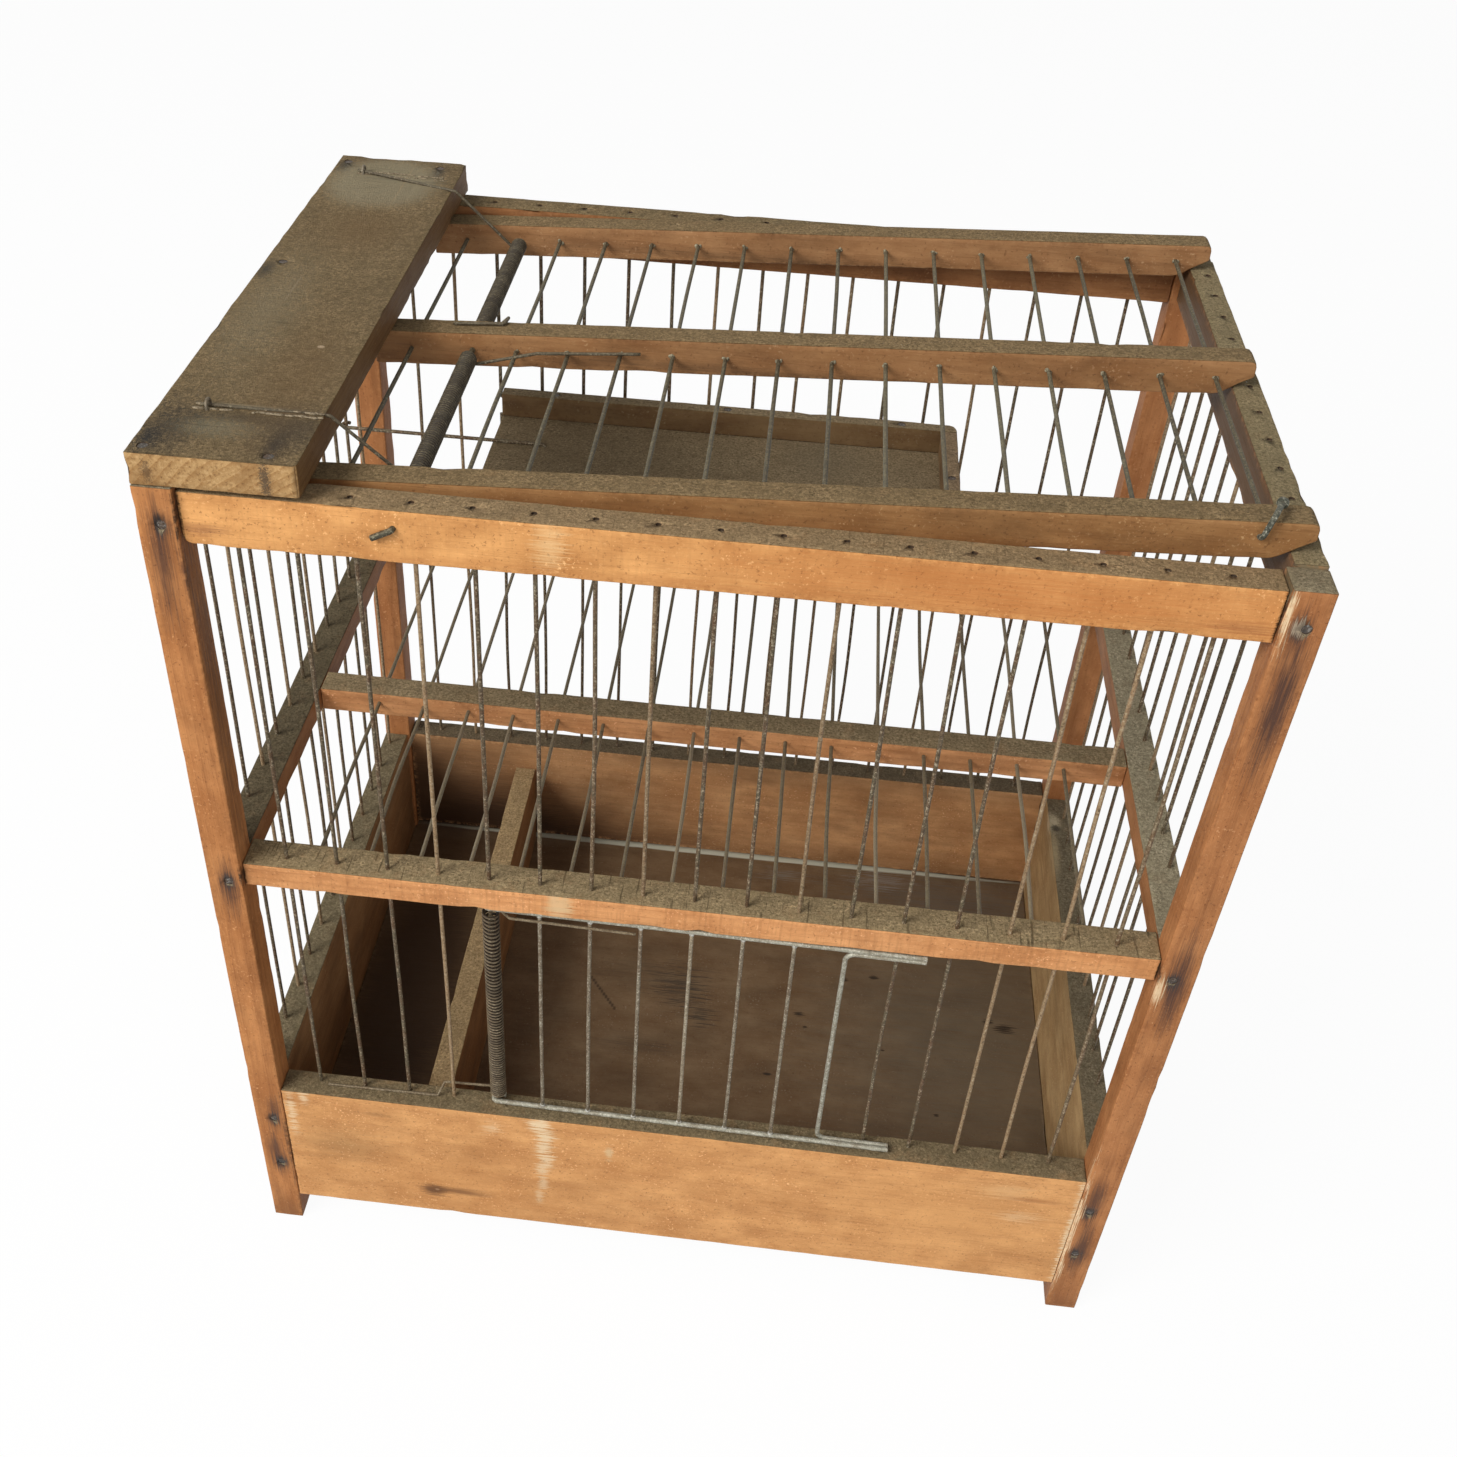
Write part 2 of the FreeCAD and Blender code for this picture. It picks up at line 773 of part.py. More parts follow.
def front_lid_spring():
    hump = lid_point(front_lid_arm_hump, 0, front_lid_arm_hump_rise)
    leave = tangent_angle(from_axle(hump), lid_spring_radius)
    coil, lead_in = plank_side(front_spring_start_y, front_spring_end_y, front_spring_turns,
                               front_plank_arm_x, front_plank_arm_y, leave)
    tangent = coil.tangent(1)
    hump = coil.place(1) + tangent * ((hump.x - coil.place(1).x) / tangent.x)
    low = wire_radius + lid_spring_wire_radius + lid_spring_gap
    arm_y = lid_middle_bar_y - front_lid_arm_bar_gap
    end = lid_point(front_lid_arm_end, arm_y, low)
    return spring("front_lid_spring", lead_in, coil, [hump, end], spring_arm_bend, lid_spring_wire_radius)


def rear_lid_spring():
    top = lid_bar_height / 2 + lid_spring_wire_radius + lid_spring_gap
    over = lid_point(rear_lid_arm_reach, 0, top)
    leave = tangent_angle(from_axle(over), lid_spring_radius)
    coil, lead_in = plank_side(rear_spring_start_y, rear_spring_end_y, rear_spring_turns,
                               rear_plank_arm_x, rear_plank_arm_y, leave)
    tangent = coil.tangent(1)
    over = coil.place(1) + tangent * ((over.x - coil.place(1).x) / tangent.x)
    inner_y = lid_middle_bar_y + lid_bar_width - rear_lid_arm_inset
    across = lid_point(rear_lid_arm_reach, inner_y, top)
    end = lid_point(-rear_lid_arm_back, inner_y, top)
    lead_out = [over, across, end]
    return spring("rear_lid_spring", lead_in, coil, lead_out, rear_lid_arm_bend, lid_spring_wire_radius)


def staple_legs():
    """Places of the two staples, each by the end of a spring arm on the plank."""
    spots = []
    for x, y in ((front_plank_arm_x, front_plank_arm_y), (rear_plank_arm_x, rear_plank_arm_y)):
        spots.append((x + staple_from_end, y))
    return spots


def staple(x, y, radius):
    """A staple over a spring arm, with both legs in the plank."""
    half = lid_spring_wire_radius + 2 * lid_spring_gap + staple_radius
    foot = plank_top - staple_leg
    crown = plank_arm_z()
    edges = [Part.LineSegment(Vector(x, y - half, foot), Vector(x, y - half, crown)).toShape()]
    top = Vector(x, y, crown + half)
    edges.append(Part.Arc(Vector(x, y - half, crown), top, Vector(x, y + half, crown)).toShape())
    edges.append(Part.LineSegment(Vector(x, y + half, crown), Vector(x, y + half, foot)).toShape())
    return sweep(edges, radius)


# Door

def door_frame_wire(z):
    """A frame wire of the door: an eye round the axle, then a straight run."""
    eye = door_eye_radius
    tail = door_point(door_eye_tail, eye, z)
    back = door_point(0, eye, z)
    left = door_point(-eye, 0, z)
    front = door_point(0, -eye, z)
    end = door_point(door_length, -eye, z)
    edges = [Part.LineSegment(tail, back).toShape()]
    edges.append(Part.Arc(back, left, front).toShape())
    edges.append(Part.LineSegment(front, end).toShape())
    return sweep(edges, door_frame_radius)


def door_bars():
    bars = []
    low = door_bottom_z + door_frame_radius
    high = door_top_z - door_frame_radius
    for index in range(1, door_bar_count + 1):
        along = index * wire_pitch
        foot = door_point(along, -door_eye_radius, low)
        bars.append(rod(foot, door_point(along, -door_eye_radius, high), door_bar_radius))
    return bars


def door_edge_wire():
    """The wire that ends the door: its legs lap over the next wall wire as the door's stop."""
    low_across = door_edge_offset - door_eye_radius
    high_across = -door_eye_radius
    top_z = door_top_z - door_edge_offset
    along = (door_bar_count + 1) * wire_pitch
    points = [door_point(door_length, low_across, door_bottom_z)]
    points.append(door_point(along, low_across, door_bottom_z))
    points.append(door_point(along, high_across, top_z))
    points.append(door_point(door_length, high_across, top_z))
    return bent_rod(points, door_edge_bend, door_edge_radius)


def door_spring():
    """The door's spring on the axle: one arm on the base board, the other across the door's bars."""
    foot_z = door_bottom_z + door_frame_radius + door_spring_foot_gap + door_spring_wire_radius
    head_z = door_top_z - door_frame_radius - door_spring_head_gap - door_spring_wire_radius
    leave = math.radians(door_spring_leave_angle)
    start = Vector(hinge_x, front_wire_y, foot_z)
    end = Vector(hinge_x, front_wire_y, head_z)
    turns = door_spring_turns + leave / (2 * math.pi)
    coil = Coil(start, end, Vector(1, 0, 0), Vector(0, -1, 0), door_spring_radius, -math.pi / 2, turns)
    tangent = coil.tangent(0)
    hook = coil.place(0) - tangent * (board_arm_hook / tangent.x)
    arm_z = board_top + board_arm_gap + door_spring_wire_radius
    arm_y = front_wire_y - wire_radius - board_arm_wire_gap - door_spring_wire_radius
    side = Vector(hinge_x - board_arm_side, arm_y, arm_z)
    lead_in = [Vector(hinge_x - board_arm_end, arm_y, arm_z), side, hook]
    tangent = coil.tangent(1)
    arm_across = -(door_eye_radius + door_bar_radius + door_spring_wire_radius + door_stop_gap)
    reach = (coil.place(1).y - (front_wire_y + arm_across)) / -tangent.y
    kink = coil.place(1) + tangent * reach
    arm_end = door_point(door_arm_end, arm_across, kink.z)
    return spring("door_spring", lead_in, coil, [kink, arm_end], door_arm_bend, door_spring_wire_radius)


# Tray

def tray_eye_places():
    """Middle of each pin that carries the tray."""
    spots = []
    for index in tray_hook_indices():
        x = front_wire_x(index) + (tray_pin_length + tray_pin_bend) / 2
        spots.append(Vector(x, rear_wire_y, tray_pin_z))
    return spots


def tray_eye(spot):
    """A wire eye on a pin, with its shank in the tray's back rim."""
    ring_radius = wire_radius + tray_eye_clearance + tray_eye_radius
    ring = Part.makeTorus(ring_radius, tray_eye_radius, spot, Vector(1, 0, 0))
    shank = rod(*tray_eye_shank(spot), tray_eye_radius)
    return ring.fuse(shank).Solids[0]


def tray_eye_shank(spot):
    ring_radius = wire_radius + tray_eye_clearance + tray_eye_radius
    start = spot - Vector(0, ring_radius, 0)
    end = Vector(spot.x, tray_back - tray_eye_socket, spot.z)
    return start, end


def tie_wire():
    """The wire that lies on the tray's floor and loops round a wire of the left wall."""
    loop = wire_radius + tie_wire_loop_gap + wire_radius
    z = tray_floor_top + wire_radius + wire_hole_clearance
    centre = Vector(left_wire_x, left_wire_y(tie_wire_index), z)
    run_end = centre - Vector(0, loop, 0)
    corner = Vector(tray_left + tie_wire_reach, run_end.y, z)
    leg = corner - Vector(0, 0, tie_wire_leg)
    edges = bent_edges([leg, corner, run_end], tie_wire_bend)
    half_turn = math.radians(tie_wire_loop_turn / 2)
    middle = centre + Vector(-math.sin(half_turn), -math.cos(half_turn), 0) * loop
    end = centre + Vector(-math.sin(2 * half_turn), -math.cos(2 * half_turn), 0) * loop
    edges.append(Part.Arc(run_end, middle, end).toShape())
    rise = Vector(0, 0, overrun)
    hole = rod(corner + rise, leg - rise, wire_radius + tie_hole_clearance)
    return sweep(edges, wire_radius), hole


def tray_nail_places():
    down = Vector(0, 0, -1)
    top = tray_floor_top + tray_rim_height
    back_y = tray_back - tray_back_rim_thickness / 2
    first_x = tray_eye_places()[-1].x + tray_nail_eye_gap
    last_x = tray_right - tray_nail_end_inset
    back = [Vector(x, back_y, top) for x in (first_x, (first_x + last_x) / 2, last_x)]
    side_x = tray_right - tray_right_rim_thickness / 2
    side = Vector(side_x, tray_front + tray_depth * tray_side_nail_share, top)
    return [(point, down) for point in back + [side]]


def make_tray():
    floor_bottom = tray_floor_top - tray_floor_thickness
    rim_top = tray_floor_top + tray_rim_height
    rim_face = tray_back - tray_back_rim_thickness
    places = tray_nail_places()
    tie, tie_hole = tie_wire()
    cutters = nail_holes(places, tray_nail_length) + [tie_hole]
    for spot in tray_eye_places():
        start, end = tray_eye_shank(spot)
        cutters.append(rod(start, end, tray_eye_radius + wire_hole_clearance))
    floor = block(tray_left, tray_right, tray_front, tray_back, floor_bottom, tray_floor_top)
    back = block(tray_left, tray_right, rim_face, tray_back, tray_floor_top, rim_top)
    corner = [edge for edge in back.Edges if is_upright_at(edge, tray_right, tray_back)]
    back = back.makeFillet(tray_rim_round, corner)
    right_low = tray_right - tray_right_rim_thickness
    right = block(right_low, tray_right, tray_front, rim_face, tray_floor_top, rim_top)
    save("tray_floor", [drill(floor, cutters)])
    save("tray_back_rim", [drill(back, cutters)])
    save("tray_right_rim", [drill(right, cutters)])
    save("tray_nails", nails(places, tray_nail_length))
    save("tray_tie_wire", [tie])
    save("tray_hinge_eyes", [tray_eye(spot) for spot in tray_eye_places()])


def is_upright_at(edge, x, y):
    box = edge.BoundBox
    upright = box.ZLength > box.XLength + box.YLength
    return upright and abs(box.XMin - x) + abs(box.YMin - y) < wire_hole_clearance


# Timber of the frame

def make_posts(cutters):
    for side, x in (("left", 0), ("right", right_post_face)):
        for end, y in (("front", 0), ("rear", rear_post_face)):
            post = block(x, x + post_size, y, y + post_size, 0, post_height)
            save("post_" + end + "_" + side, [drill(post, cutters)])


def make_boards(cutters):
    inner_left = board_setback + board_thickness
    inner_right = cage_width - inner_left
    inner_front = board_setback + board_thickness
    inner_rear = cage_depth - inner_front
    front = block(left_post_face, right_post_face, board_setback, inner_front, board_bottom, board_top)
    low = floor_top + rear_board_gap
    rear = block(left_post_face, right_post_face, inner_rear, cage_depth - board_setback, low, board_top)
    left = block(board_setback, inner_left, front_post_face, rear_post_face, board_bottom, board_top)
    outer_right = cage_width - board_setback
    right = block(inner_right, outer_right, front_post_face, rear_post_face, board_bottom, board_top)
    floor = block(inner_left, inner_right, inner_front, cage_depth - board_setback, board_bottom, floor_top)
    for x in (0, right_post_face):
        for y in (0, rear_post_face):
            floor = floor.cut(block(x, x + post_size, y, y + post_size, 0, post_height))
    right_side = divider_left + divider_thickness
    divider = block(divider_left, right_side, inner_front, inner_rear, floor_top, divider_top)
    save("front_board", [drill(front, cutters)])
    save("rear_board", [drill(rear, cutters)])
    save("left_board", [drill(left, cutters)])
    save("right_board", [drill(right, cutters)])
    save("floor_board", [drill(floor, cutters)])
    save("divider_board", [divider])


def make_mid_rails(cutters):
    low = mid_rail_bottom
    high = mid_rail_top
    front_low = front_mid_rail_setback
    front = block(left_post_face, right_post_face, front_low, front_low + front_mid_rail_depth, low, high)
    rear_high = cage_depth - board_setback
    rear = block(left_post_face, right_post_face, rear_high - rear_mid_rail_depth, rear_high, low, high)
    left_low = left_post_face - side_mid_rail_width
    left = block(left_low, left_post_face, front_post_face, rear_post_face, low, high)
    right_high = right_post_face + side_mid_rail_width
    right = block(right_post_face, right_high, front_post_face, rear_post_face, low, high)
    cross_high = cross_rail_front + cross_rail_depth
    cross = block(left_post_face, right_post_face, cross_rail_front, cross_high, low, high)
    save("front_mid_rail", [drill(front, cutters)])
    save("rear_mid_rail", [drill(rear, cutters)])
    save("left_mid_rail", [drill(left, cutters)])
    save("right_mid_rail", [drill(right, cutters)])
    save("cross_rail", [drill(cross, cutters)])


def round_low_end(rail, x, z):
    """Round the lower edge at one end of a top rail."""
    edges = []
    for edge in rail.Edges:
        box = edge.BoundBox
        lies_across = box.YLength > box.XLength + box.ZLength
        if lies_across and abs(box.XMin - x) + abs(box.ZMin - z) < wire_hole_clearance:
            edges.append(edge)
    return rail.makeFillet(top_rail_end_round, edges)


def make_top_rails(cutters):
    front_low = front_top_rail_setback
    front_high = front_low + top_rail_depth
    foot = front_top_rail_top - front_top_rail_height
    front = block(left_post_face, right_post_face, front_low, front_high, foot, front_top_rail_top)
    front = round_low_end(front, left_post_face, foot)
    rear_high = cage_depth - rear_top_rail_setback
    rear_low = rear_high - top_rail_depth
    rear_foot = post_height - rear_top_rail_height
    rear = block(left_post_face, right_post_face, rear_low, rear_high, rear_foot, post_height)
    rear = round_low_end(rear, right_post_face, rear_foot)
    left_foot = post_height - left_top_rail_height
    left = block(0, left_top_rail_width, front_post_face, rear_post_face, left_foot, post_height)
    right_foot = right_rail_top - right_top_rail_height
    right = block(right_rail_face, cage_width, front_post_face, rear_post_face, right_foot, right_rail_top)
    save("front_top_rail", [drill(front, cutters)])
    save("rear_top_rail", [drill(rear, cutters)])
    save("left_top_rail", [drill(left, cutters)])
    save("right_top_rail", [drill(right, cutters)])


def make_plank(cutters):
    plank = block(0, plank_width, 0, plank_length, post_height, plank_top)
    corner = [edge for edge in plank.Edges if is_upright_at(edge, plank_width, 0)]
    plank = plank.makeFillet(plank_corner_round, corner)
    save("top_plank", [drill(plank, cutters)])


def make_cage():
    """The fixed cage: timber, wall wires, grille, axles and nails."""
    whole, short, door_axle = front_wires()
    rear = rear_wires()
    hooks = tray_hooks()
    left = side_wires(left_wire_x, [left_wire_y(index) for index in range(left_wire_count)], post_height)
    right_places = [right_wire_y(index) for index in range(right_wire_count)]
    right = side_wires(right_wire_x, right_places, right_rail_top)
    grille = grille_wires()
    axle, axle_hole = lid_axle()
    cutters = [axle_hole]
    for pairs in (whole, short, door_axle, rear, hooks, left, right, grille):
        cutters += holes_of(pairs)
    spare_foot = Vector(front_wire_x(door_edge_index), front_wire_y, wire_foot_z)
    cutters.append(wire_hole(spare_foot, spare_foot + Vector(0, 0, wire_socket_depth)))
    cutters += nail_holes(end_nail_places(), nail_length)
    cutters += nail_holes(side_nail_places(), nail_length)
    cutters += nail_holes(plank_nail_places(), nail_length)
    for x, y in staple_legs():
        cutters.append(staple(x, y, staple_radius + nail_clearance))
    make_posts(cutters)
    make_boards(cutters)
    make_mid_rails(cutters)
    make_top_rails(cutters)
    make_plank(cutters)
    save("front_wall_wires", solids_of(whole))
    save("front_upper_wires", solids_of(short))
    save("door_axle", solids_of(door_axle))
    save("rear_wall_wires", solids_of(rear))
    save("tray_hook_wires", solids_of(hooks))
    save("left_wall_wires", solids_of(left))
    save("right_wall_wires", solids_of(right))
    save("grille_wires", solids_of(grille))
    save("lid_axle", [axle])
    save("post_face_nails", nails(end_nail_places(), nail_length))
    save("side_face_nails", nails(side_nail_places(), nail_length))
    save("plank_nails", nails(plank_nail_places(), nail_length))
    save("spring_staples", [staple(x, y, staple_radius) for x, y in staple_legs()])


def make_lid():
    cutters = lid_cutters()
    save("lid_front_bar", [lid_bar(lid_front_bar_y, cutters)])
    save("lid_middle_bar", [lid_bar(lid_middle_bar_y, cutters)])
    save("lid_rear_bar", [lid_bar(lid_rear_bar_y, cutters)])
    save("lid_wires", [lid_wire(along) for along in lid_wire_places()])
    save("lid_tail_wire", [lid_wire(-lid_tail_wire)])
    save("lid_bent_nail", [bent_nail()])
    save("front_lid_spring", [front_lid_spring()])
    save("rear_lid_spring", [rear_lid_spring()])


def make_door():
    save("door_top_wire", [door_frame_wire(door_top_z)])
    save("door_bottom_wire", [door_frame_wire(door_bottom_z)])
    save("door_bars", door_bars())
    save("door_edge_wire", [door_edge_wire()])
    save("door_spring", [door_spring()])


make_cage()
make_lid()
make_door()
make_tray()
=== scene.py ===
import math
import random

import bmesh
import bpy
from mathutils import Matrix, Vector, noise


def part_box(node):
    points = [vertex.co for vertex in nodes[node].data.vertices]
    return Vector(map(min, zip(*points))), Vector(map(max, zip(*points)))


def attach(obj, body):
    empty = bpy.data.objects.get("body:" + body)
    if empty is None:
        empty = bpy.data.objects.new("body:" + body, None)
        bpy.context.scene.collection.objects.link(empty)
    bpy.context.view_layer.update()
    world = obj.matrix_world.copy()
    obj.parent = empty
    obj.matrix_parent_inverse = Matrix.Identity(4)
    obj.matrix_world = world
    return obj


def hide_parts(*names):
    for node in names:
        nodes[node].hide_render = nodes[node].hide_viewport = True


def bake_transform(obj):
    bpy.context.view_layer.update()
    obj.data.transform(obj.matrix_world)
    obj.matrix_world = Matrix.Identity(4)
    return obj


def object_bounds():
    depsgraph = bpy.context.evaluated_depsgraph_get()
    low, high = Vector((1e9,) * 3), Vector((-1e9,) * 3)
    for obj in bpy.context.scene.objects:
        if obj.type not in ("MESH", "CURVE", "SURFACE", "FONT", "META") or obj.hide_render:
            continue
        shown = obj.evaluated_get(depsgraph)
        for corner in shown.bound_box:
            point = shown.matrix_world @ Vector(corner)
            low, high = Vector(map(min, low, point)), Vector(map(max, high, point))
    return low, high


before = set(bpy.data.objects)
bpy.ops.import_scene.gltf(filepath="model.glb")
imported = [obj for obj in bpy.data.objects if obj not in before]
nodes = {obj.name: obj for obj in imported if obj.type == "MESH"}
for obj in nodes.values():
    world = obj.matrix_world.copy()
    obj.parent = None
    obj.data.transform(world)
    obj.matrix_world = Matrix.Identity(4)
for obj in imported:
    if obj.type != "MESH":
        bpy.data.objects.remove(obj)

cad_low, cad_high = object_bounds()
millimetre = 0.001

# The corner frame of the cage: X from the left face, Y from the front face, Z from the feet, in millimetres
cage_width = 385.0
plank_length = 270.0
post_height = 407.0

# Joints of the springs with the pieces that they press on, as in the part's source
wire_radius = 0.85
lid_axle_x = 86.0
lid_axle_z = 398.0
lid_rest_angle = 2.8
lid_bar_height = 14.0
plank_width = 57.0
plank_top = 419.5


def at(x, y, z):
    """A place given in the corner frame."""
    return Vector((x - cage_width / 2, y - plank_length / 2, z)) * millimetre


# Reading the solids of the frame

def solids_of(node):
    """Lowest and highest corner of each separate solid of a node."""
    copy = bmesh.new()
    copy.from_mesh(nodes[node].data)
    bmesh.ops.remove_doubles(copy, verts=copy.verts, dist=millimetre / 1000)
    boxes = []
    seen = set()
    for first in copy.verts:
        if first in seen:
            continue
        group = [first]
        seen.add(first)
        for vertex in group:
            for edge in vertex.link_edges:
                other = edge.other_vert(vertex)
                if other not in seen:
                    seen.add(other)
                    group.append(other)
        low = Vector([min(vertex.co[axis] for vertex in group) for axis in range(3)])
        high = Vector([max(vertex.co[axis] for vertex in group) for axis in range(3)])
        boxes.append((low, high))
    copy.free()
    return sorted(boxes, key=lambda box: tuple(round(value, 6) for value in box[0]))


# Meshes

def add_object(name, vertices, faces, material, wear_and_groove_shade=None):
    mesh = bpy.data.meshes.new(name)
    mesh.from_pydata([tuple(vertex) for vertex in vertices], [], faces)
    mesh.update()
    if wear_and_groove_shade is not None:
        attribute = mesh.attributes.new("wear_and_groove_shade", "FLOAT", "POINT")
        attribute.data.foreach_set("value", wear_and_groove_shade)
    for polygon in mesh.polygons:
        polygon.use_smooth = len(polygon.vertices) <= 4
    mesh.materials.append(material)
    piece = bpy.data.objects.new(name, mesh)
    bpy.context.scene.collection.objects.link(piece)
    return piece


edge_round = 0.6
support_near = 0.8
support_far = 2.4
run_step = 6.0
arc_step = 1.2
ring_steps = 3


def between(length, margin):
    """Even places along a length, clear of a margin at each end."""
    inner = length - 2 * margin
    pieces = max(1, math.ceil(inner / run_step))
    return [margin + inner * piece / pieces for piece in range(1, pieces)]


class Outline:
    """A convex outline, given counter-clockwise, with a rounding at each corner.

    Each point has a normal, a wear, and the arc or the run that it lies on.
    """

    def __init__(self, corners, radii):
        self.points = []
        count = len(corners)
        corners = [Vector(corner) for corner in corners]
        turns = []
        for index in range(count):
            before = (corners[index] - corners[index - 1]).normalized()
            after = (corners[(index + 1) % count] - corners[index]).normalized()
            turn = math.acos(max(-1.0, min(1.0, before.dot(after))))
            first = Vector((before.y, -before.x))
            last = Vector((after.y, -after.x))
            slope = math.tan(turn / 2)
            centre = corners[index] - before * (radii[index] * slope) - first * radii[index]
            mitre = (first + last) / (1 + first.dot(last))
            turns.append((centre, first, turn, radii[index], slope, mitre, after))
        for index in range(count):
            centre, first, turn, radius, slope, mitre, after = turns[index]
            next_radius, next_slope = turns[(index + 1) % count][3:5]
            steps = max(3, int(radius * turn / arc_step))
            wear_and_groove_shade = 1.0 if radius < support_far else 0.0
            for step in range(steps + 1):
                normal = Matrix.Rotation(turn * step / steps, 2) @ first
                self.points.append((normal, wear_and_groove_shade, (centre, radius, mitre), None))
            start = corners[index] + after * (radius * slope)
            whole = (corners[(index + 1) % count] - corners[index]).length
            length = whole - radius * slope - next_radius * next_slope
            normal = Vector((after.y, -after.x))
            marks = [support_near, support_far, *between(length, support_far)]
            marks += [length - support_far, length - support_near]
            for mark in sorted(marks):
                wear_and_groove_shade = max(0.0, 1 - min(mark, length - mark) / support_far)
                run = (start, after, mark, length, radius, slope, next_radius, next_slope)
                self.points.append((normal, wear_and_groove_shade, None, run))

    def place(self, point, inset):
        """Where a point lies when the outline is drawn in."""
        normal, wear_and_groove_shade, arc, run = point
        if arc:
            centre, radius, mitre = arc
            if inset <= radius:
                return centre + normal * (radius - inset)
            return centre - mitre * (inset - radius)
        start, after, mark, length, radius, slope, next_radius, next_slope = run
        low = max(0.0, inset - radius) * slope
        high = length - max(0.0, inset - next_radius) * next_slope
        return start + after * max(low, min(high, mark)) - normal * inset


def ring_stations(low, high):
    """Places along a timber with the inset and the wear of each ring."""
    margin = edge_round + support_far
    ends = [(0.0, support_far, 0.0), (0.0, edge_round + support_near, 0.5)]
    for step in range(ring_steps + 1):
        angle = step / ring_steps * math.pi / 2
        ends.append((edge_round * (1 - math.cos(angle)), edge_round * (1 - math.sin(angle)), 1.0))
    ends += [(edge_round + support_near, 0.0, 0.5), (margin, 0.0, 0.0)]
    middle = [(along, 0.0, 0.0) for along in between(high - low, margin)]
    stations = [(low + along, inset, wear_and_groove_shade) for along, inset, wear_and_groove_shade in ends + middle]
    return stations + [(high - along, inset, wear_and_groove_shade) for along, inset, wear_and_groove_shade in reversed(ends)]


def round_off(place, corner):
    """Draws the square corner of a timber in to a round one."""
    (first, first_end, first_sign), (second, second_end, second_sign), radius = corner
    first_share = 1 - (first_end - place[first]) * first_sign / radius
    second_share = 1 - (second_end - place[second]) * second_sign / radius
    if min(first_share, second_share) > 0:
        first_reach = first_share * math.sqrt(1 - second_share ** 2 / 2)
        second_reach = second_share * math.sqrt(1 - first_share ** 2 / 2)
        place[first] = first_end - first_sign * radius * (1 - first_reach)
        place[second] = second_end - second_sign * radius * (1 - second_reach)


# Wear of the timbers: the lengths of its waves and its depths, in millimetres
seed_steps = (7.3, 3.1, 5.7)
slow_wave = 34
quick_wave = 6
chip_wave = 11
chip_level = 0.28
slow_depth = 0.1
quick_depth = 0.18
chip_depth = 1.3


def prism(name, outline, axis, low, high, material, seed, rough=1.0, holes=(), corner=None):
    """A timber along one axis, with uneven faces, worn edges and small chips, all inside its outline."""
    first = (axis + 1) % 3
    second = (axis + 2) % 3
    stations = ring_stations(low, high)
    shift = Vector([seed * step for step in seed_steps])
    vertices = []
    wear_and_groove_shade = []
    count = len(outline.points)
    for ring, (along, inset, ring_worn) in enumerate(stations):
        capping = ring == 0 or ring == len(stations) - 1
        for point in outline.points:
            normal, point_worn = point[:2]
            flat = outline.place(point, inset)
            place = Vector((0, 0, 0))
            place[axis] = along
            place[first] = flat.x
            place[second] = flat.y
            if corner:
                round_off(place, corner)
            outward = Vector((0, 0, 0))
            outward[first] = normal.x
            outward[second] = normal.y
            if inset > 0:
                outward = outward * max(0.0, 1 - inset / edge_round)
                outward[axis] = 1.0 if ring > len(stations) / 2 else -1.0
                outward.normalize()
            wear = max(point_worn, ring_worn) if inset <= edge_round else ring_worn
            depth = 0.0
            if not capping:
                slow = 0.5 + 0.5 * noise.noise(place / slow_wave + shift)
                quick = 0.5 + 0.5 * noise.noise(place / quick_wave + shift)
                chip = max(0.0, noise.noise(place / chip_wave - shift) - chip_level)
                depth = rough * (slow_depth * slow + wear * (quick_depth * quick + chip_depth * chip))
            vertices.append(place - outward * depth)
            wear_and_groove_shade.append(wear)
    faces = []
    for ring in range(len(stations) - 1):
        for index in range(count):
            a = ring * count + index
            b = ring * count + (index + 1) % count
            faces.append((a, b, b + count, a + count))
    faces.append(tuple(reversed(range(count))))
    faces.append(tuple(range((len(stations) - 1) * count, len(stations) * count)))
    piece = add_object(name, [at(*vertex) for vertex in vertices], faces, material, wear_and_groove_shade)
    clean(piece)
    punch(piece, holes)
    return piece


def clean(piece):
    mesh = bmesh.new()
    mesh.from_mesh(piece.data)
    bmesh.ops.remove_doubles(mesh, verts=mesh.verts, dist=millimetre / 500)
    bmesh.ops.recalc_face_normals(mesh, faces=mesh.faces)
    mesh.to_mesh(piece.data)
    mesh.free()


hole_sides = 16


def hole_shade_wood():
    """Painted shade: dark wood on the walls of the holes, in place of the shade inside them."""
    if "hole_shade_wood" in bpy.data.materials:
        return bpy.data.materials["hole_shade_wood"]
    shader = Shader("hole_shade_wood")
    grain = shader.noise(shader.place, (1.2, 1.2, 1.2), 3.0)
    colour = shader.mix(shader.span(grain, 0.35, 0.7), dirt_and_shade, rgb(0.09, 0.045, 0.018))
    return shader.finish(colour, 0.8, grain, 0.0001)


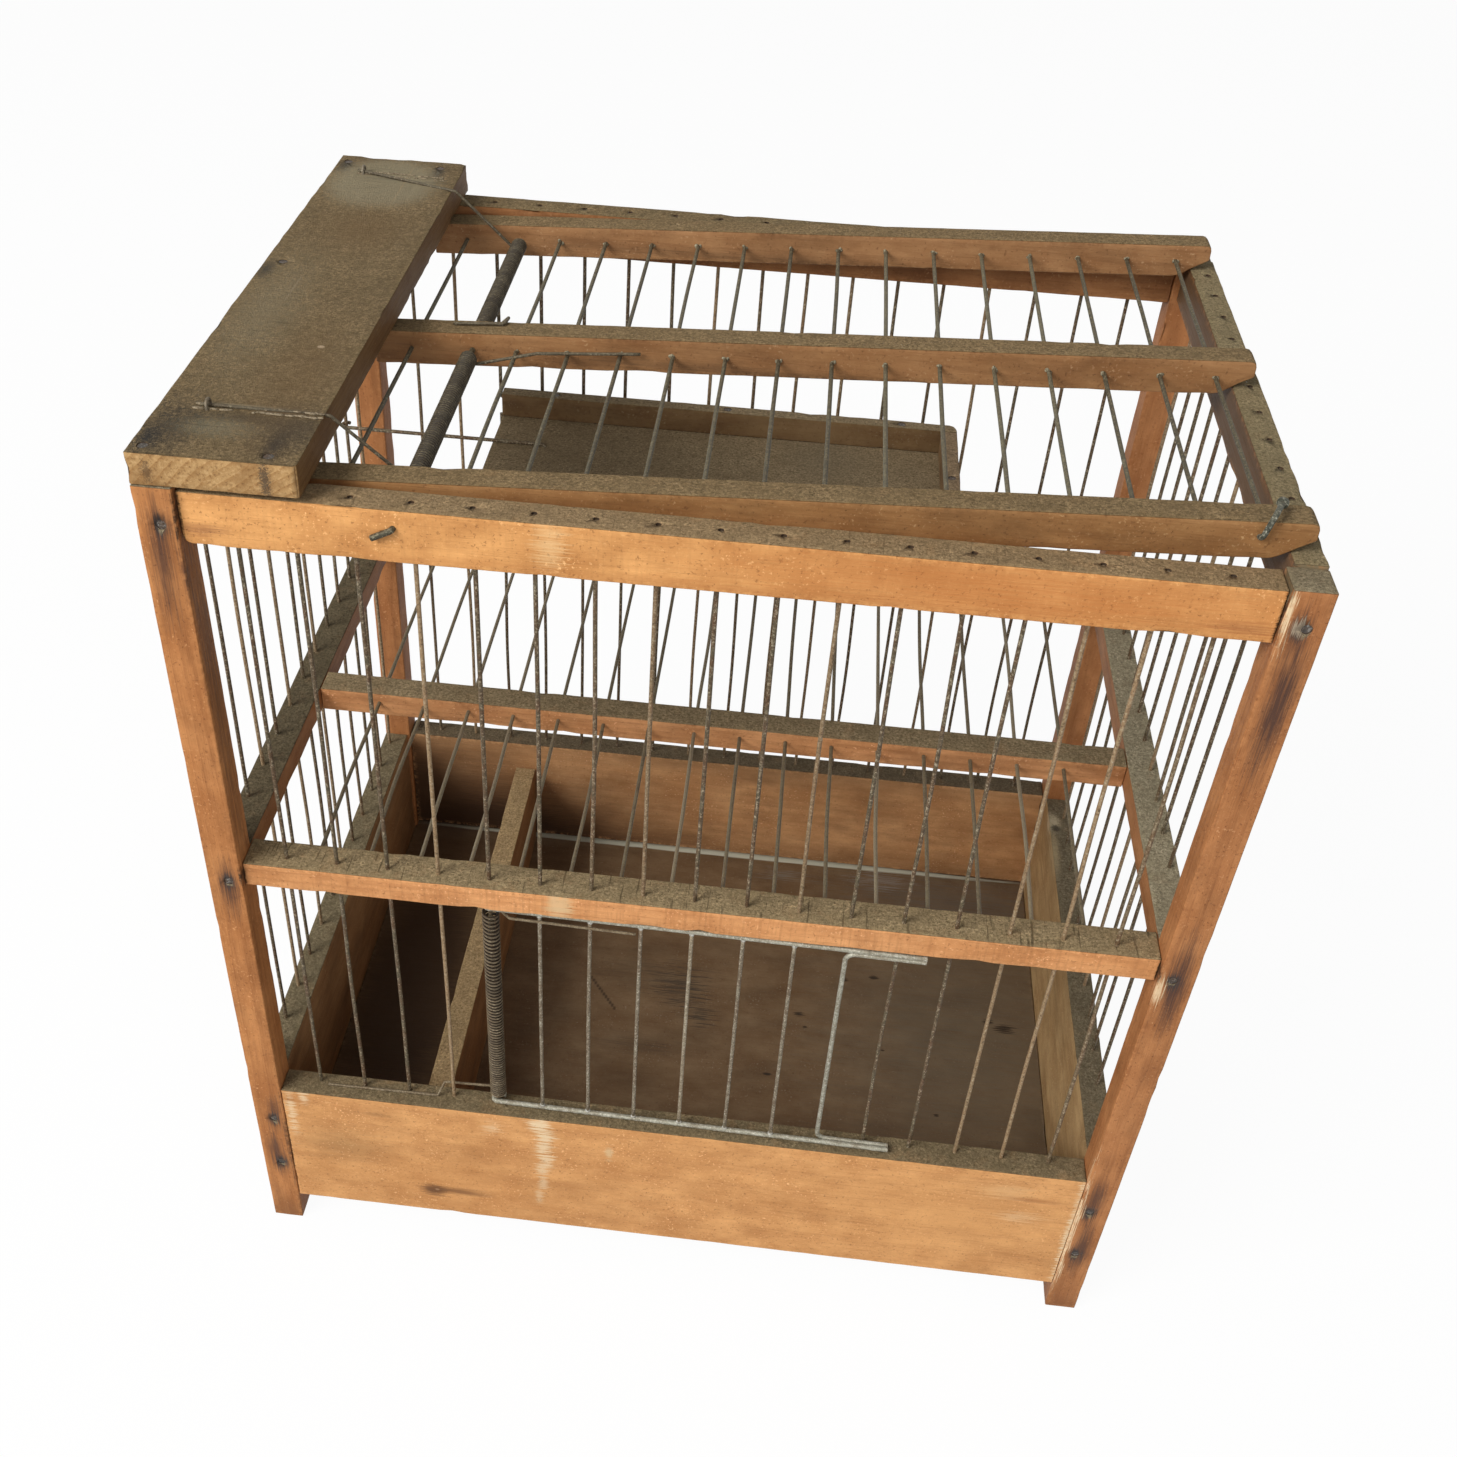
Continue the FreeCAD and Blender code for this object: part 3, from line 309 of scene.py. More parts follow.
def punch(piece, holes):
    """Cuts round holes: each is its start, its end and its radius, in metres."""
    if not holes:
        return
    mesh = bmesh.new()
    for start, end, radius in holes:
        run = end - start
        turn = run.to_track_quat("Z", "Y").to_matrix().to_4x4()
        place = Matrix.Translation((start + end) / 2) @ turn
        bmesh.ops.create_cone(mesh, cap_ends=True, segments=hole_sides, radius1=radius, radius2=radius,
                              depth=run.length, matrix=place)
    data = bpy.data.meshes.new("cutter")
    mesh.to_mesh(data)
    mesh.free()
    # The walls of the holes take the dark hole material, which is painted shade.
    data.materials.append(hole_shade_wood())
    cutter = bpy.data.objects.new("cutter", data)
    bpy.context.scene.collection.objects.link(cutter)
    cut = piece.modifiers.new("holes", "BOOLEAN")
    cut.operation = "DIFFERENCE"
    cut.solver = "EXACT"
    cut.material_mode = "TRANSFER"
    cut.object = cutter
    graph = bpy.context.evaluated_depsgraph_get()
    made = bpy.data.meshes.new_from_object(piece.evaluated_get(graph))
    piece.modifiers.clear()
    old = piece.data
    piece.data = made
    bpy.data.meshes.remove(old)
    bpy.data.objects.remove(cutter)
    bpy.data.meshes.remove(data)


def tube(path, radii, sides=10):
    """Vertices and faces of a round tube along a path, with closed ends."""
    vertices = []
    faces = []
    count = len(path)
    tangents = []
    for index in range(count):
        before = path[max(0, index - 1)]
        after = path[min(count - 1, index + 1)]
        tangents.append((after - before).normalized())
    across = tangents[0].orthogonal().normalized()
    for index in range(count):
        if index:
            turn = tangents[index - 1].rotation_difference(tangents[index])
            across = turn @ across
        across = (across - tangents[index] * across.dot(tangents[index])).normalized()
        upward = tangents[index].cross(across)
        for side in range(sides):
            angle = 2 * math.pi * side / sides
            arm = across * math.cos(angle) + upward * math.sin(angle)
            vertices.append(path[index] + arm * radii[index])
    for index in range(count - 1):
        for side in range(sides):
            a = index * sides + side
            b = index * sides + (side + 1) % sides
            faces.append((a, b, b + sides, a + sides))
    faces.append(tuple(reversed(range(sides))))
    faces.append(tuple(range((count - 1) * sides, count * sides)))
    return vertices, faces


def join_tubes(name, tubes, material, tones=None):
    """One piece from several closed meshes, each with its own tone of the material."""
    vertices = []
    faces = []
    wear_and_groove_shade = []
    for index, (more, loops) in enumerate(tubes):
        start = len(vertices)
        vertices += more
        wear_and_groove_shade += [tones[index] if tones else 0.0] * len(more)
        faces += [tuple(corner + start for corner in loop) for loop in loops]
    return add_object(name, vertices, faces, material, wear_and_groove_shade)


# Shader nodes

class Shader:
    """Short names for the nodes of one material."""

    def __init__(self, name):
        self.material = bpy.data.materials.new(name)
        self.material.use_nodes = True
        self.tree = self.material.node_tree
        self.surface = self.tree.nodes["Principled BSDF"]
        coordinates = self.add("TexCoord", {})
        self.place = self.vector("MULTIPLY", coordinates["Object"], (1000, 1000, 1000))
        self.facing = coordinates["Normal"]

    def set(self, node, socket, value):
        target = node.inputs[socket]
        if isinstance(value, bpy.types.NodeSocket):
            self.tree.links.new(value, target)
        else:
            target.default_value = value

    def add(self, kind, values, **settings):
        """The outputs of a new node, with its settings made and its sockets set or linked."""
        node = self.tree.nodes.new("ShaderNode" + kind)
        for key, value in settings.items():
            setattr(node, key, value)
        for socket, value in values.items():
            self.set(node, socket, value)
        return node.outputs

    def vector(self, operation, first, second=(0, 0, 0)):
        made = self.add("VectorMath", {0: first, 1: second}, operation=operation)
        return made["Value" if operation == "LENGTH" else "Vector"]

    def math(self, operation, first, second=0.0, clamp=False):
        return self.add("Math", {0: first, 1: second, 2: 0.0}, operation=operation, use_clamp=clamp)[0]

    def times(self, first, second):
        return self.math("MULTIPLY", first, second)

    def plus(self, first, second):
        return self.math("ADD", first, second)

    def noise(self, place, scale, detail=3.0, roughness=0.5, distortion=0.0):
        """Noise whose scale is three numbers, per millimetre along each axis."""
        return self.add("TexNoise", {"Vector": self.vector("MULTIPLY", place, scale), "Scale": 1.0, "Detail": detail,
                                     "Roughness": roughness, "Distortion": distortion})["Fac"]

    def span(self, value, low, high, to_low=0.0, to_high=1.0):
        return self.add("MapRange", {"Value": value, "From Min": low, "From Max": high, "To Min": to_low,
                                     "To Max": to_high})["Result"]

    def mix(self, share, first, second):
        return self.add("Mix", {"Factor": share, "A": first, "B": second}, data_type="RGBA")["Result"]

    def lay(self, colour, value, low, high, tone, most=1.0, strength=None):
        """A tone laid over a colour, more so as a value goes from low to high."""
        share = self.span(value, low, high, 0.0, most)
        if strength is not None:
            share = self.times(share, strength)
        return self.mix(share, colour, tone)

    def parts(self, vector):
        return self.add("SeparateXYZ", {0: vector})

    def wear_and_groove_shade(self):
        return self.add("Attribute", {}, attribute_name="wear_and_groove_shade")["Fac"]

    def finish(self, colour, roughness, height, distance):
        bump = self.add("Bump", {"Height": height, "Distance": distance, "Strength": 1.0})["Normal"]
        for socket, value in (("Base Color", colour), ("Roughness", roughness), ("Normal", bump)):
            self.set(self.surface, socket, value)
        return self.material


def rgb(red, green, blue):
    return (red, green, blue, 1.0)


# The first tone is dark dirt on the floor, and also painted shade in the holes.
dirt_and_shade = rgb(0.03, 0.02, 0.012)
soot = rgb(0.035, 0.032, 0.03)
fresh = rgb(0.72, 0.5, 0.27)
rust_run = rgb(0.07, 0.034, 0.024)
seam_tone = rgb(0.022, 0.013, 0.008)
splinter = rgb(0.84, 0.64, 0.4)
dust_grey = (0.27, 0.2, 0.115)


def tinted(tone, red, green, blue):
    return rgb(tone[0] * red, tone[1] * green, tone[2] * blue)


def mark(place, reach, colour, strength, soft=0.7, ragged=0.5, fall=1.0):
    """A stain, a pale spot, or a patch of painted shade or painted light: its centre and its reach each way, drawn out
    downwards by fall.
    """
    return Vector(at(*place)) / millimetre, reach, colour, strength, soft, ragged, fall


def face_marks(axis, level, depth, rows):
    """Marks on a face across one axis.

    A row has the place and the reach along the other two axes, the colour, the strength, and how soft and
    how ragged the edge is.
    """
    marks = []
    for first, second, first_reach, second_reach, *look in rows:
        place = [first, second]
        reach = [first_reach, second_reach]
        place.insert(axis, level)
        reach.insert(axis, depth)
        marks.append(mark(place, reach, *look))
    return marks


def add_marks(shader, colour, marks, streaks):
    """A colour with marks laid over it, their edges made ragged by the streaks."""
    for centre, reach, tint, strength, soft, ragged, fall in marks:
        offset = shader.vector("SUBTRACT", shader.place, tuple(centre))
        offset = shader.vector("MULTIPLY", offset, [1 / value for value in reach])
        if fall != 1.0:
            x, y, z = shader.parts(offset)
            z = shader.math("MAXIMUM", z, shader.times(z, -1 / fall))
            offset = shader.add("CombineXYZ", {0: x, 1: y, 2: z})[0]
        edge = shader.span(streaks, 0.25, 0.75, -ragged, ragged)
        distance = shader.plus(shader.vector("LENGTH", offset), edge)
        share = shader.times(shader.span(distance, 1.0, 1.0 - soft), strength)
        colour = shader.mix(share, colour, tint)
    return colour


# Along the timber the fibres' noise is this much coarser, and the bumps are this high, in metres
fibre_stretch = 0.08
wood_relief = 0.00026
metal_relief = 0.00018


def wood(name, axis, pith, tone, spacing=3.2, rings=0.3, wander=7.0, dust=dust_grey, cover=1.0, grime=0.3,
         saw=0.0, streaks=0.34, marks=(), dust_marks=(), end=None, seed=0.0):
    """Aged softwood: rings round a pith line, fibres along the timber, dust on its upper faces."""
    shader = Shader(name)
    shifted = shader.vector("ADD", shader.place, (seed * 31.0, seed * 17.0, seed * 23.0))

    def grain(across, along, detail, roughness=0.5, distortion=0.0):
        """Noise with one scale across the timber and another along it."""
        scale = [across] * 3
        scale[axis] = along
        return shader.noise(shifted, scale, detail, roughness, distortion)

    light = tinted(tone, 1.2, 1.25, 1.3)
    deep = tinted(tone, 0.8, 0.75, 0.7)
    late = tinted(tone, 0.42, 0.33, 0.28)
    slow = grain(1 / 26, fibre_stretch / 26, 2.0)
    fibre = grain(2.2, fibre_stretch * 2.2 * 0.35, 3.0, 0.65)
    streak = grain(0.32, fibre_stretch * 0.32, 2.0, 0.55)
    mottle = grain(1 / 16, fibre_stretch / 16 * 7, 5.0, 0.62)
    speck = grain(0.85, 0.85, 3.0, 0.6)
    patch = grain(0.07, 0.07, 3.0, 0.6)
    stains = grain(0.05, 0.05 * 0.4, 5.0, 0.62)
    lines = grain(0.05, 0.75, 2.0, 0.5, 0.3)

    # Rings
    parts = shader.parts(shader.place)
    first = shader.math("SUBTRACT", parts[(axis + 1) % 3], pith[0])
    second = shader.math("SUBTRACT", parts[(axis + 2) % 3], pith[1])
    squares = shader.plus(shader.times(first, first), shader.times(second, second))
    radius = shader.plus(shader.math("SQRT", squares), shader.span(slow, 0.0, 1.0, -wander, wander))
    cycle = shader.math("FRACT", shader.math("DIVIDE", radius, spacing))
    late_wood = shader.times(shader.span(cycle, 0.35, 0.9), shader.span(cycle, 1.0, 0.93))

    # Bare wood, with its stains
    colour = shader.lay(deep, mottle, 0.34, 0.68, light)
    colour = shader.lay(colour, patch, 0.42, 0.66, tinted(tone, 0.78, 0.68, 0.6), 0.45)
    ring_share = shader.times(late_wood, shader.span(fibre, 0.3, 0.7, 0.2 * rings, rings))
    colour = shader.mix(ring_share, colour, late)
    colour = shader.lay(colour, streak, 0.52, 0.74, late, strength=streaks)
    colour = shader.lay(colour, fibre, 0.56, 0.75, late, strength=0.3)
    colour = shader.lay(colour, speck, 0.62, 0.69, late, strength=0.5)
    scuffs = shader.times(shader.span(speck, 0.4, 0.33), shader.span(patch, 0.5, 0.64, 0.16, 0.85))
    colour = shader.mix(scuffs, colour, tinted(tone, 1.45, 1.75, 2.2))
    colour = shader.lay(colour, stains, 0.48, 0.74, tinted(tone, 0.2, 0.17, 0.16), strength=grime)
    colour = shader.lay(colour, lines, 0.5, 0.66, late, strength=saw * 0.35)
    if end:
        grain_end = shader.math("ABSOLUTE", shader.parts(shader.facing)[axis])
        sawn = shader.mix(shader.times(late_wood, 0.6), rgb(*end), tinted(end, 0.66, 0.55, 0.42))
        sawn = shader.lay(sawn, speck, 0.54, 0.62, tinted(end, 0.4, 0.3, 0.22), 0.4)
        sawn = shader.lay(sawn, speck, 0.44, 0.36, tinted(end, 1.3, 1.4, 1.6), 0.5)
        sawn = shader.lay(sawn, patch, 0.5, 0.62, tinted(end, 0.5, 0.4, 0.3), 0.5)
        colour = shader.lay(colour, grain_end, 0.55, 0.8, sawn)
    colour = add_marks(shader, colour, marks, fibre)

    # Dust on the upper faces
    upward = shader.parts(shader.facing)[2]
    cover_noise = grain(0.11, 0.11, 6.0, 0.7)
    settled = shader.times(shader.span(upward, 0.35, 0.75), shader.span(cover_noise, 0.28, 0.46, 0.84, 1.0))
    settled = shader.math("MULTIPLY", settled, cover, clamp=True)
    grit = grain(0.9, 0.9, 6.0, 0.85)
    clumps = shader.plus(shader.times(grit, 0.85), shader.times(grain(1.5, 0.3, 3.0, 0.6), 0.15))
    dusty = shader.lay(tinted(dust, 0.6, 0.56, 0.52), clumps, 0.4, 0.6, tinted(dust, 1.9, 1.84, 1.88))
    tufts = grain(0.28, 0.28, 4.0, 0.7)
    dusty = shader.lay(dusty, tufts, 0.5, 0.68, tinted(dust, 0.56, 0.53, 0.52), 0.55)
    dusty = shader.lay(dusty, speck, 0.41, 0.35, tinted(dust, 2.5, 2.4, 2.5), 0.6)
    dusty = shader.lay(dusty, speck, 0.6, 0.66, tinted(dust, 0.36, 0.33, 0.3), 0.7)
    dusty = shader.lay(dusty, patch, 0.35, 0.65, tinted(dust, 0.8, 0.75, 0.7), 0.4)
    dusty = add_marks(shader, dusty, dust_marks, clumps)
    if saw:
        dusty = shader.lay(dusty, lines, 0.62, 0.68, tinted(dust, 0.25, 0.22, 0.2), saw)
    colour = shader.mix(settled, colour, dusty)

    # Worn edges, and the relief
    rubbed = shader.span(grain(0.4, 0.4, 4.0, 0.6), 0.45, 0.62)
    wear = shader.times(shader.times(shader.wear_and_groove_shade(), rubbed), 0.5)
    colour = shader.mix(wear, colour, shader.mix(settled, light, tinted(dust, 1.4, 1.35, 1.25)))
    roughness = shader.plus(shader.times(settled, 0.28), shader.span(fibre, 0.3, 0.7, 0.54, 0.7))
    plain = shader.plus(shader.times(fibre, 0.5), shader.times(late_wood, 0.15))
    plain = shader.math("SUBTRACT", plain, shader.times(shader.span(speck, 0.62, 0.7), 0.4))
    height = shader.plus(plain, shader.times(shader.times(clumps, settled), 4.0))
    shader.set(shader.surface, "Specular IOR Level", 0.22)
    return shader.finish(colour, roughness, height, wood_relief)


def metal(name, base, rust, bright, pale=None, cover=0.5, metallic=0.25, groove_shade=False, seed=0.0):
    """Dull rusted wire: mottled, with pale worn spots and dust on its upper side."""
    shader = Shader(name)
    shifted = shader.vector("ADD", shader.place, (seed * 13.0, seed * 29.0, seed * 7.0))
    coarse = shader.noise(shifted, (0.16, 0.16, 0.16), 4.0, 0.6)
    fine = shader.noise(shifted, (1.0, 1.0, 1.0), 5.0, 0.8)
    colour = shader.lay(rgb(*base), coarse, 0.4, 0.62, rgb(*rust))
    if pale:
        colour = shader.mix(shader.wear_and_groove_shade(), colour, rgb(*pale))
    colour = shader.lay(colour, fine, 0.53, 0.62, rgb(*bright), strength=0.85)
    colour = shader.lay(colour, fine, 0.47, 0.38, tinted(base, 0.36, 0.33, 0.3), strength=0.75)
    upward = shader.parts(shader.facing)[2]
    settled = shader.times(shader.span(upward, 0.2, 0.9), shader.span(fine, 0.45, 0.58, 0.2, 1.0))
    settled = shader.math("MULTIPLY", settled, cover, clamp=True)
    colour = shader.mix(settled, colour, tinted(dust_grey, 0.7, 0.72, 0.72))
    # Painted shade: on springs, the sides of each turn, where the attribute is low, are painted dark for the shade
    # between the turns.
    if groove_shade:
        colour = shader.mix(shader.wear_and_groove_shade(), tinted(base, 0.13, 0.1, 0.08), colour)
    shader.set(shader.surface, "Metallic", metallic)
    shader.set(shader.surface, "Specular IOR Level", 0.3)
    roughness = shader.plus(shader.span(fine, 0.35, 0.65, 0.42, 0.7), shader.times(settled, 0.2))
    return shader.finish(colour, roughness, fine, metal_relief)


# Timber

def corner_frame(point):
    return point / millimetre + Vector((cage_width / 2, plank_length / 2, 0))


def extent(node):
    """Lowest and highest corner of a node in the corner frame, in millimetres."""
    low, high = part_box(node)
    return corner_frame(low), corner_frame(high)


# Recesses over the nails and mouths of the wires' holes, in metres
nail_clearance = 0.00008
nail_sink = 0.00105
mouth_depth = 0.0006
mouth_radius = 0.00105
overrun = 0.002


def nail_recesses():
    """A shallow round recess over the head of each nail."""
    recesses = []
    for node in ("post_face_nails", "side_face_nails", "plank_nails", "tray_nails"):
        for low, high in solids_of(node):
            size = high - low
            axis = max(range(3), key=lambda index: size[index])
            start = (low + high) / 2
            end = start.copy()
            outside = high[axis] if start[axis] > (cad_low[axis] + cad_high[axis]) / 2 else low[axis]
            sign = 1 if outside == high[axis] else -1
            start[axis] = outside - sign * nail_sink
            end[axis] = outside + sign * overrun
            recesses.append((start, end, min(size) / 2 + nail_clearance))
    return recesses


def wire_mouths():
    """The open upper ends of the wires' holes in the top rails."""
    mouths = []
    for node in ("front_wall_wires", "front_upper_wires", "door_axle", "rear_wall_wires", "tray_hook_wires",
                 "right_wall_wires"):
        for low, high in solids_of(node):
            top = Vector((low.x + wire_radius * millimetre, (low.y + high.y) / 2, high.z))
            mouths.append((top - Vector((0, 0, mouth_depth)), top + Vector((0, 0, overrun)), mouth_radius))
    return mouths


all_holes = nail_recesses() + wire_mouths()
hole_margin = 0.5


def holes_in(low, high):
    """The holes that open in the box between two corners of the corner frame."""
    found = []
    for start, end, radius in all_holes:
        first = corner_frame(start)
        if all(low[axis] - hole_margin < first[axis] < high[axis] + hole_margin for axis in range(3)):
            found.append((start, end, radius))
    return found


def stand_for(piece, node, body):
    """Puts a piece on a body in place of a node of the frame."""
    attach(piece, body)
    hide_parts(node)


def square_timber(node, axis, material, body="cage", seed=0.0, rough=1.0, corner=None):
    """A finer piece in place of a timber of the frame, with its grain along an axis."""
    low, high = extent(node)
    first = (axis + 1) % 3
    second = (axis + 2) % 3
    corners = [(low[first], low[second]), (high[first], low[second]),
               (high[first], high[second]), (low[first], high[second])]
    if corner:
        signs, radius = corner
        ends = [(side, (high if sign > 0 else low)[side], sign) for side, sign in signs]
        corner = (*ends, radius)
    outline = Outline(corners, [edge_round] * 4)
    holes = holes_in(low, high)
    piece = prism("worn_" + node, outline, axis, low[axis], high[axis], material, seed, rough, holes, corner)
    stand_for(piece, node, body)


nail_levels = (43.8, 76.2, 228.0, 392.8)
post_tone = (0.45, 0.19, 0.07)
post_stains = {
    "front_left": ((6.5, 378.0, 5.2, 30.0, rust_run, 0.8, 0.8), (14.0, 374.0, 1.9, 15.0, rust_run, 0.85, 0.8),
                   (8.0, 222.0, 5.0, 20.0, rust_run, 0.75, 0.8), (6.5, 52.0, 4.6, 18.0, rust_run, 0.8, 0.8),
                   (9.5, 84.0, 4.0, 11.0, rust_run, 0.6, 0.8)),
    "front_right": ((378.4, 362.0, 5.6, 40.0, rust_run, 0.95, 0.8), (378.6, 226.0, 5.2, 34.0, rust_run, 0.9, 0.8),
                    (377.0, 86.0, 5.0, 19.0, rust_run, 0.8, 0.8), (378.4, 50.0, 5.0, 24.0, rust_run, 0.85, 0.8)),
}
post_seams_and_shade = {
    "front_left": [mark((13.6, 0.0, 62.0), (1.2, 2.0, 40.0), seam_tone, 0.6, 0.5, 1.2),
                   # Painted shade: the upper part of the left post's inner side face is painted dark brown, as it
                   # faces away from the light.
                   mark((14.6, 8.0, 330.0), (1.8, 10.0, 110.0), rgb(0.1, 0.044, 0.018), 0.75, 0.7, 0.7)],
    "front_right": [*face_marks(1, 0.0, 3.0, (
        (376.5, 392.8, 3.1, 3.3, rgb(0.42, 0.33, 0.23), 0.8, 0.5, 1.0),
        (372.2, 397.0, 1.2, 13.0, splinter, 0.9, 0.5, 1.2),
        (372.6, 222.0, 2.0, 8.0, splinter, 0.8, 0.5, 1.0),
        (371.6, 60.0, 1.6, 40.0, splinter, 0.95, 0.5, 1.4))),
        mark((371.0, 7.0, 406.5), (1.6, 9.0, 6.0), rgb(0.13, 0.1, 0.055), 0.95, 0.4, 0.3)],
}
foot_fade = 14.0
pith_aside = 16


def make_posts():
    for side, x, inner in (("left", 8.5, 14.0), ("right", 376.5, 371.0)):
        for end, y, depth in (("front", 0.0, -22.0), ("rear", 267.0, 300.0)):
            place = end + "_" + side
            seed = 1.0 + (side == "right") + 2 * (end == "rear")
            marks = face_marks(1, y, 4.0, post_stains.get(place, ()))
            for level in nail_levels:
                marks.append(mark((x, y, level), (4.6, 5.0, 8.5), rust_run, 0.7, 0.9, 0.35, 1.6))
                marks.append(mark((x, y, level), (3.6, 4.0, 5.0), soot, 0.85, 0.6, 0.4, 1.3))
            if end == "front":
                marks += face_marks(1, 0.0, 9.0, [(inner, level, 1.3, reach, seam_tone, 0.9, 0.5)
                                                  for level, reach in ((230.0, 7.0), (396.0, 12.0))])
            marks += post_seams_and_shade.get(place, [])
            for level in (-foot_fade, 0.0):
                marks.append(mark((x, y, level), (30.0, 40.0, 18.0), tinted(post_tone, 0.3, 0.28, 0.3), 0.4))
            pith = (x - cage_width / 2 + pith_aside * (1 if side == "left" else -1), depth - plank_length / 2)
            tone = tinted(post_tone, 1.14, 1.14, 1.06) if place == "front_left" else post_tone
            material = wood("post_wood_" + place, 2, pith, tone, spacing=3.0, grime=0.4, marks=marks,
                            dust=(0.27, 0.228, 0.142), seed=seed)
            square_timber("post_" + place, 2, material, seed=seed)


board_tone = (0.7, 0.35, 0.132)
floor_top = 24.0


def make_boards():
    knot = rgb(0.05, 0.02, 0.012)
    streak = ((131.0, 93.0), (133.5, 85.0), (132.5, 77.0), (134.0, 68.0), (132.0, 60.0), (132.5, 50.0),
              (130.5, 41.0))
    marks = [mark((x, 0, z), (4.6 - index * 0.4, 6.0, 6.5), splinter, 0.95 - index * 0.06, 0.5, 1.1)
             for index, (x, z) in enumerate(streak)]
    marks += face_marks(1, 0, 8.0, (
        (92.0, 36.0, 20.0, 3.4, knot, 0.8, 0.8, 0.4),
        (81.0, 35.2, 8.0, 5.6, knot, 1.0, 0.6, 0.4),
        (82.0, 35.6, 1.1, 0.9, rgb(0.3, 0.2, 0.12), 0.8, 0.5, 0.4)))
    marks += face_marks(1, 0, 6.0, (
        (17.6, 84.0, 2.4, 15.0, splinter, 0.75, 0.6, 1.3),
        (24.0, 94.0, 2.6, 5.0, splinter, 0.75, 0.6, 1.2),
        (110.0, 88.0, 5.0, 4.0, splinter, 0.5, 0.6, 1.4),
        (345.0, 66.0, 9.0, 4.0, splinter, 0.5, 0.6, 1.5),
        (162.5, 78.7, 2.2, 5.0, fresh, 0.8, 0.6, 0.7),
        (57.6, 87.6, 7.0, 1.7, knot, 0.3, 0.8, 0.5)))
    marks += face_marks(1, 0, 8.0, (
        (40.0, 62.0, 26.0, 17.0, rgb(0.25, 0.16, 0.07), 0.35, 0.9, 0.4),
        (100.0, 40.0, 80.0, 30.0, rgb(0.5, 0.22, 0.07), 0.35, 0.9, 0.4),
        (320.0, 60.0, 80.0, 40.0, rgb(0.78, 0.4, 0.15), 0.5, 0.9, 0.5),
        (340.0, 84.0, 12.0, 7.0, rgb(0.75, 0.46, 0.22), 0.5, 0.9, 0.9),
        (352.0, 80.0, 15.0, 2.0, rgb(0.3, 0.1, 0.03), 0.5, 0.8, 0.6),
        (370.6, 58.0, 2.0, 42.0, splinter, 0.95, 0.5, 1.4),
        (13.8, 58.0, 1.0, 42.0, seam_tone, 0.85, 0.5, 0.6)))
    front = wood("front_board_wood", 0, (-200.0, 8.0), board_tone, spacing=9.0, rings=0.14, grime=0.16,
                 marks=marks, streaks=0.14, dust=(0.19, 0.148, 0.08), seed=5.0)
    square_timber("front_board", 0, front, seed=5.0, rough=0.9)
    # Painted shade on the inner face of the rear board: darkest at the lower left, and darker along the bottom and
    # along the top edge.
    shade = face_marks(1, 254.0, 8.0, (
        (58.0, 22.0, 158.0, 80.0, rgb(0.05, 0.026, 0.014), 1.0, 0.7, 0.1),
        (14.0, 62.0, 72.0, 84.0, rgb(0.07, 0.036, 0.018), 0.9, 0.9, 0.1),
        (230.0, 99.0, 260.0, 15.0, rgb(0.3, 0.17, 0.08), 0.65, 0.9, 0.3),
        (250.0, 12.0, 260.0, 40.0, rgb(0.075, 0.036, 0.016), 0.7, 0.8, 0.1)))
    rear = wood("rear_board_wood", 0, (150.0, 160.0), (0.62, 0.33, 0.145), spacing=6.0, rings=0.2, grime=0.5,
                marks=shade, streaks=0.14, dust=(0.13, 0.1, 0.058), seed=6.0)
    square_timber("rear_board", 0, rear, seed=6.0)
    side_pith = (60.0, 190.0)
    side = wood("side_board_wood", 1, side_pith, (0.36, 0.2, 0.088), spacing=6.0, rings=0.2, grime=0.6,
                dust=(0.17, 0.14, 0.08), seed=7.0)
    square_timber("left_board", 1, side, seed=7.0)
    torn = [mark((373.5, 232.0, 97.0), (5.5, 9.0, 7.0), rgb(0.62, 0.52, 0.34), 0.9, 0.5, 0.9),
            mark((373.0, 210.0, 96.0), (3.5, 22.0, 6.0), rgb(0.5, 0.38, 0.21), 0.8, 0.6, 0.9),
            mark((375.5, 228.0, 97.5), (3.0, 3.4, 6.0), rgb(0.06, 0.048, 0.034), 0.9, 0.5, 1.0)]
    side = wood("right_board_wood", 1, side_pith, (0.48, 0.315, 0.148), spacing=6.0, rings=0.2, grime=0.4,
                dust=(0.17, 0.14, 0.085), marks=torn, dust_marks=torn, seed=8.0)
    square_timber("right_board", 1, side, seed=8.0, rough=1.9)
    divider = wood("divider_wood", 1, side_pith, (0.3, 0.15, 0.06), spacing=6.0, rings=0.2, grime=0.6,
                   dust=(0.36, 0.265, 0.135), cover=0.9, seed=9.0)
    square_timber("divider_board", 1, divider, seed=9.0)
    print_tone = rgb(0.04, 0.033, 0.024)
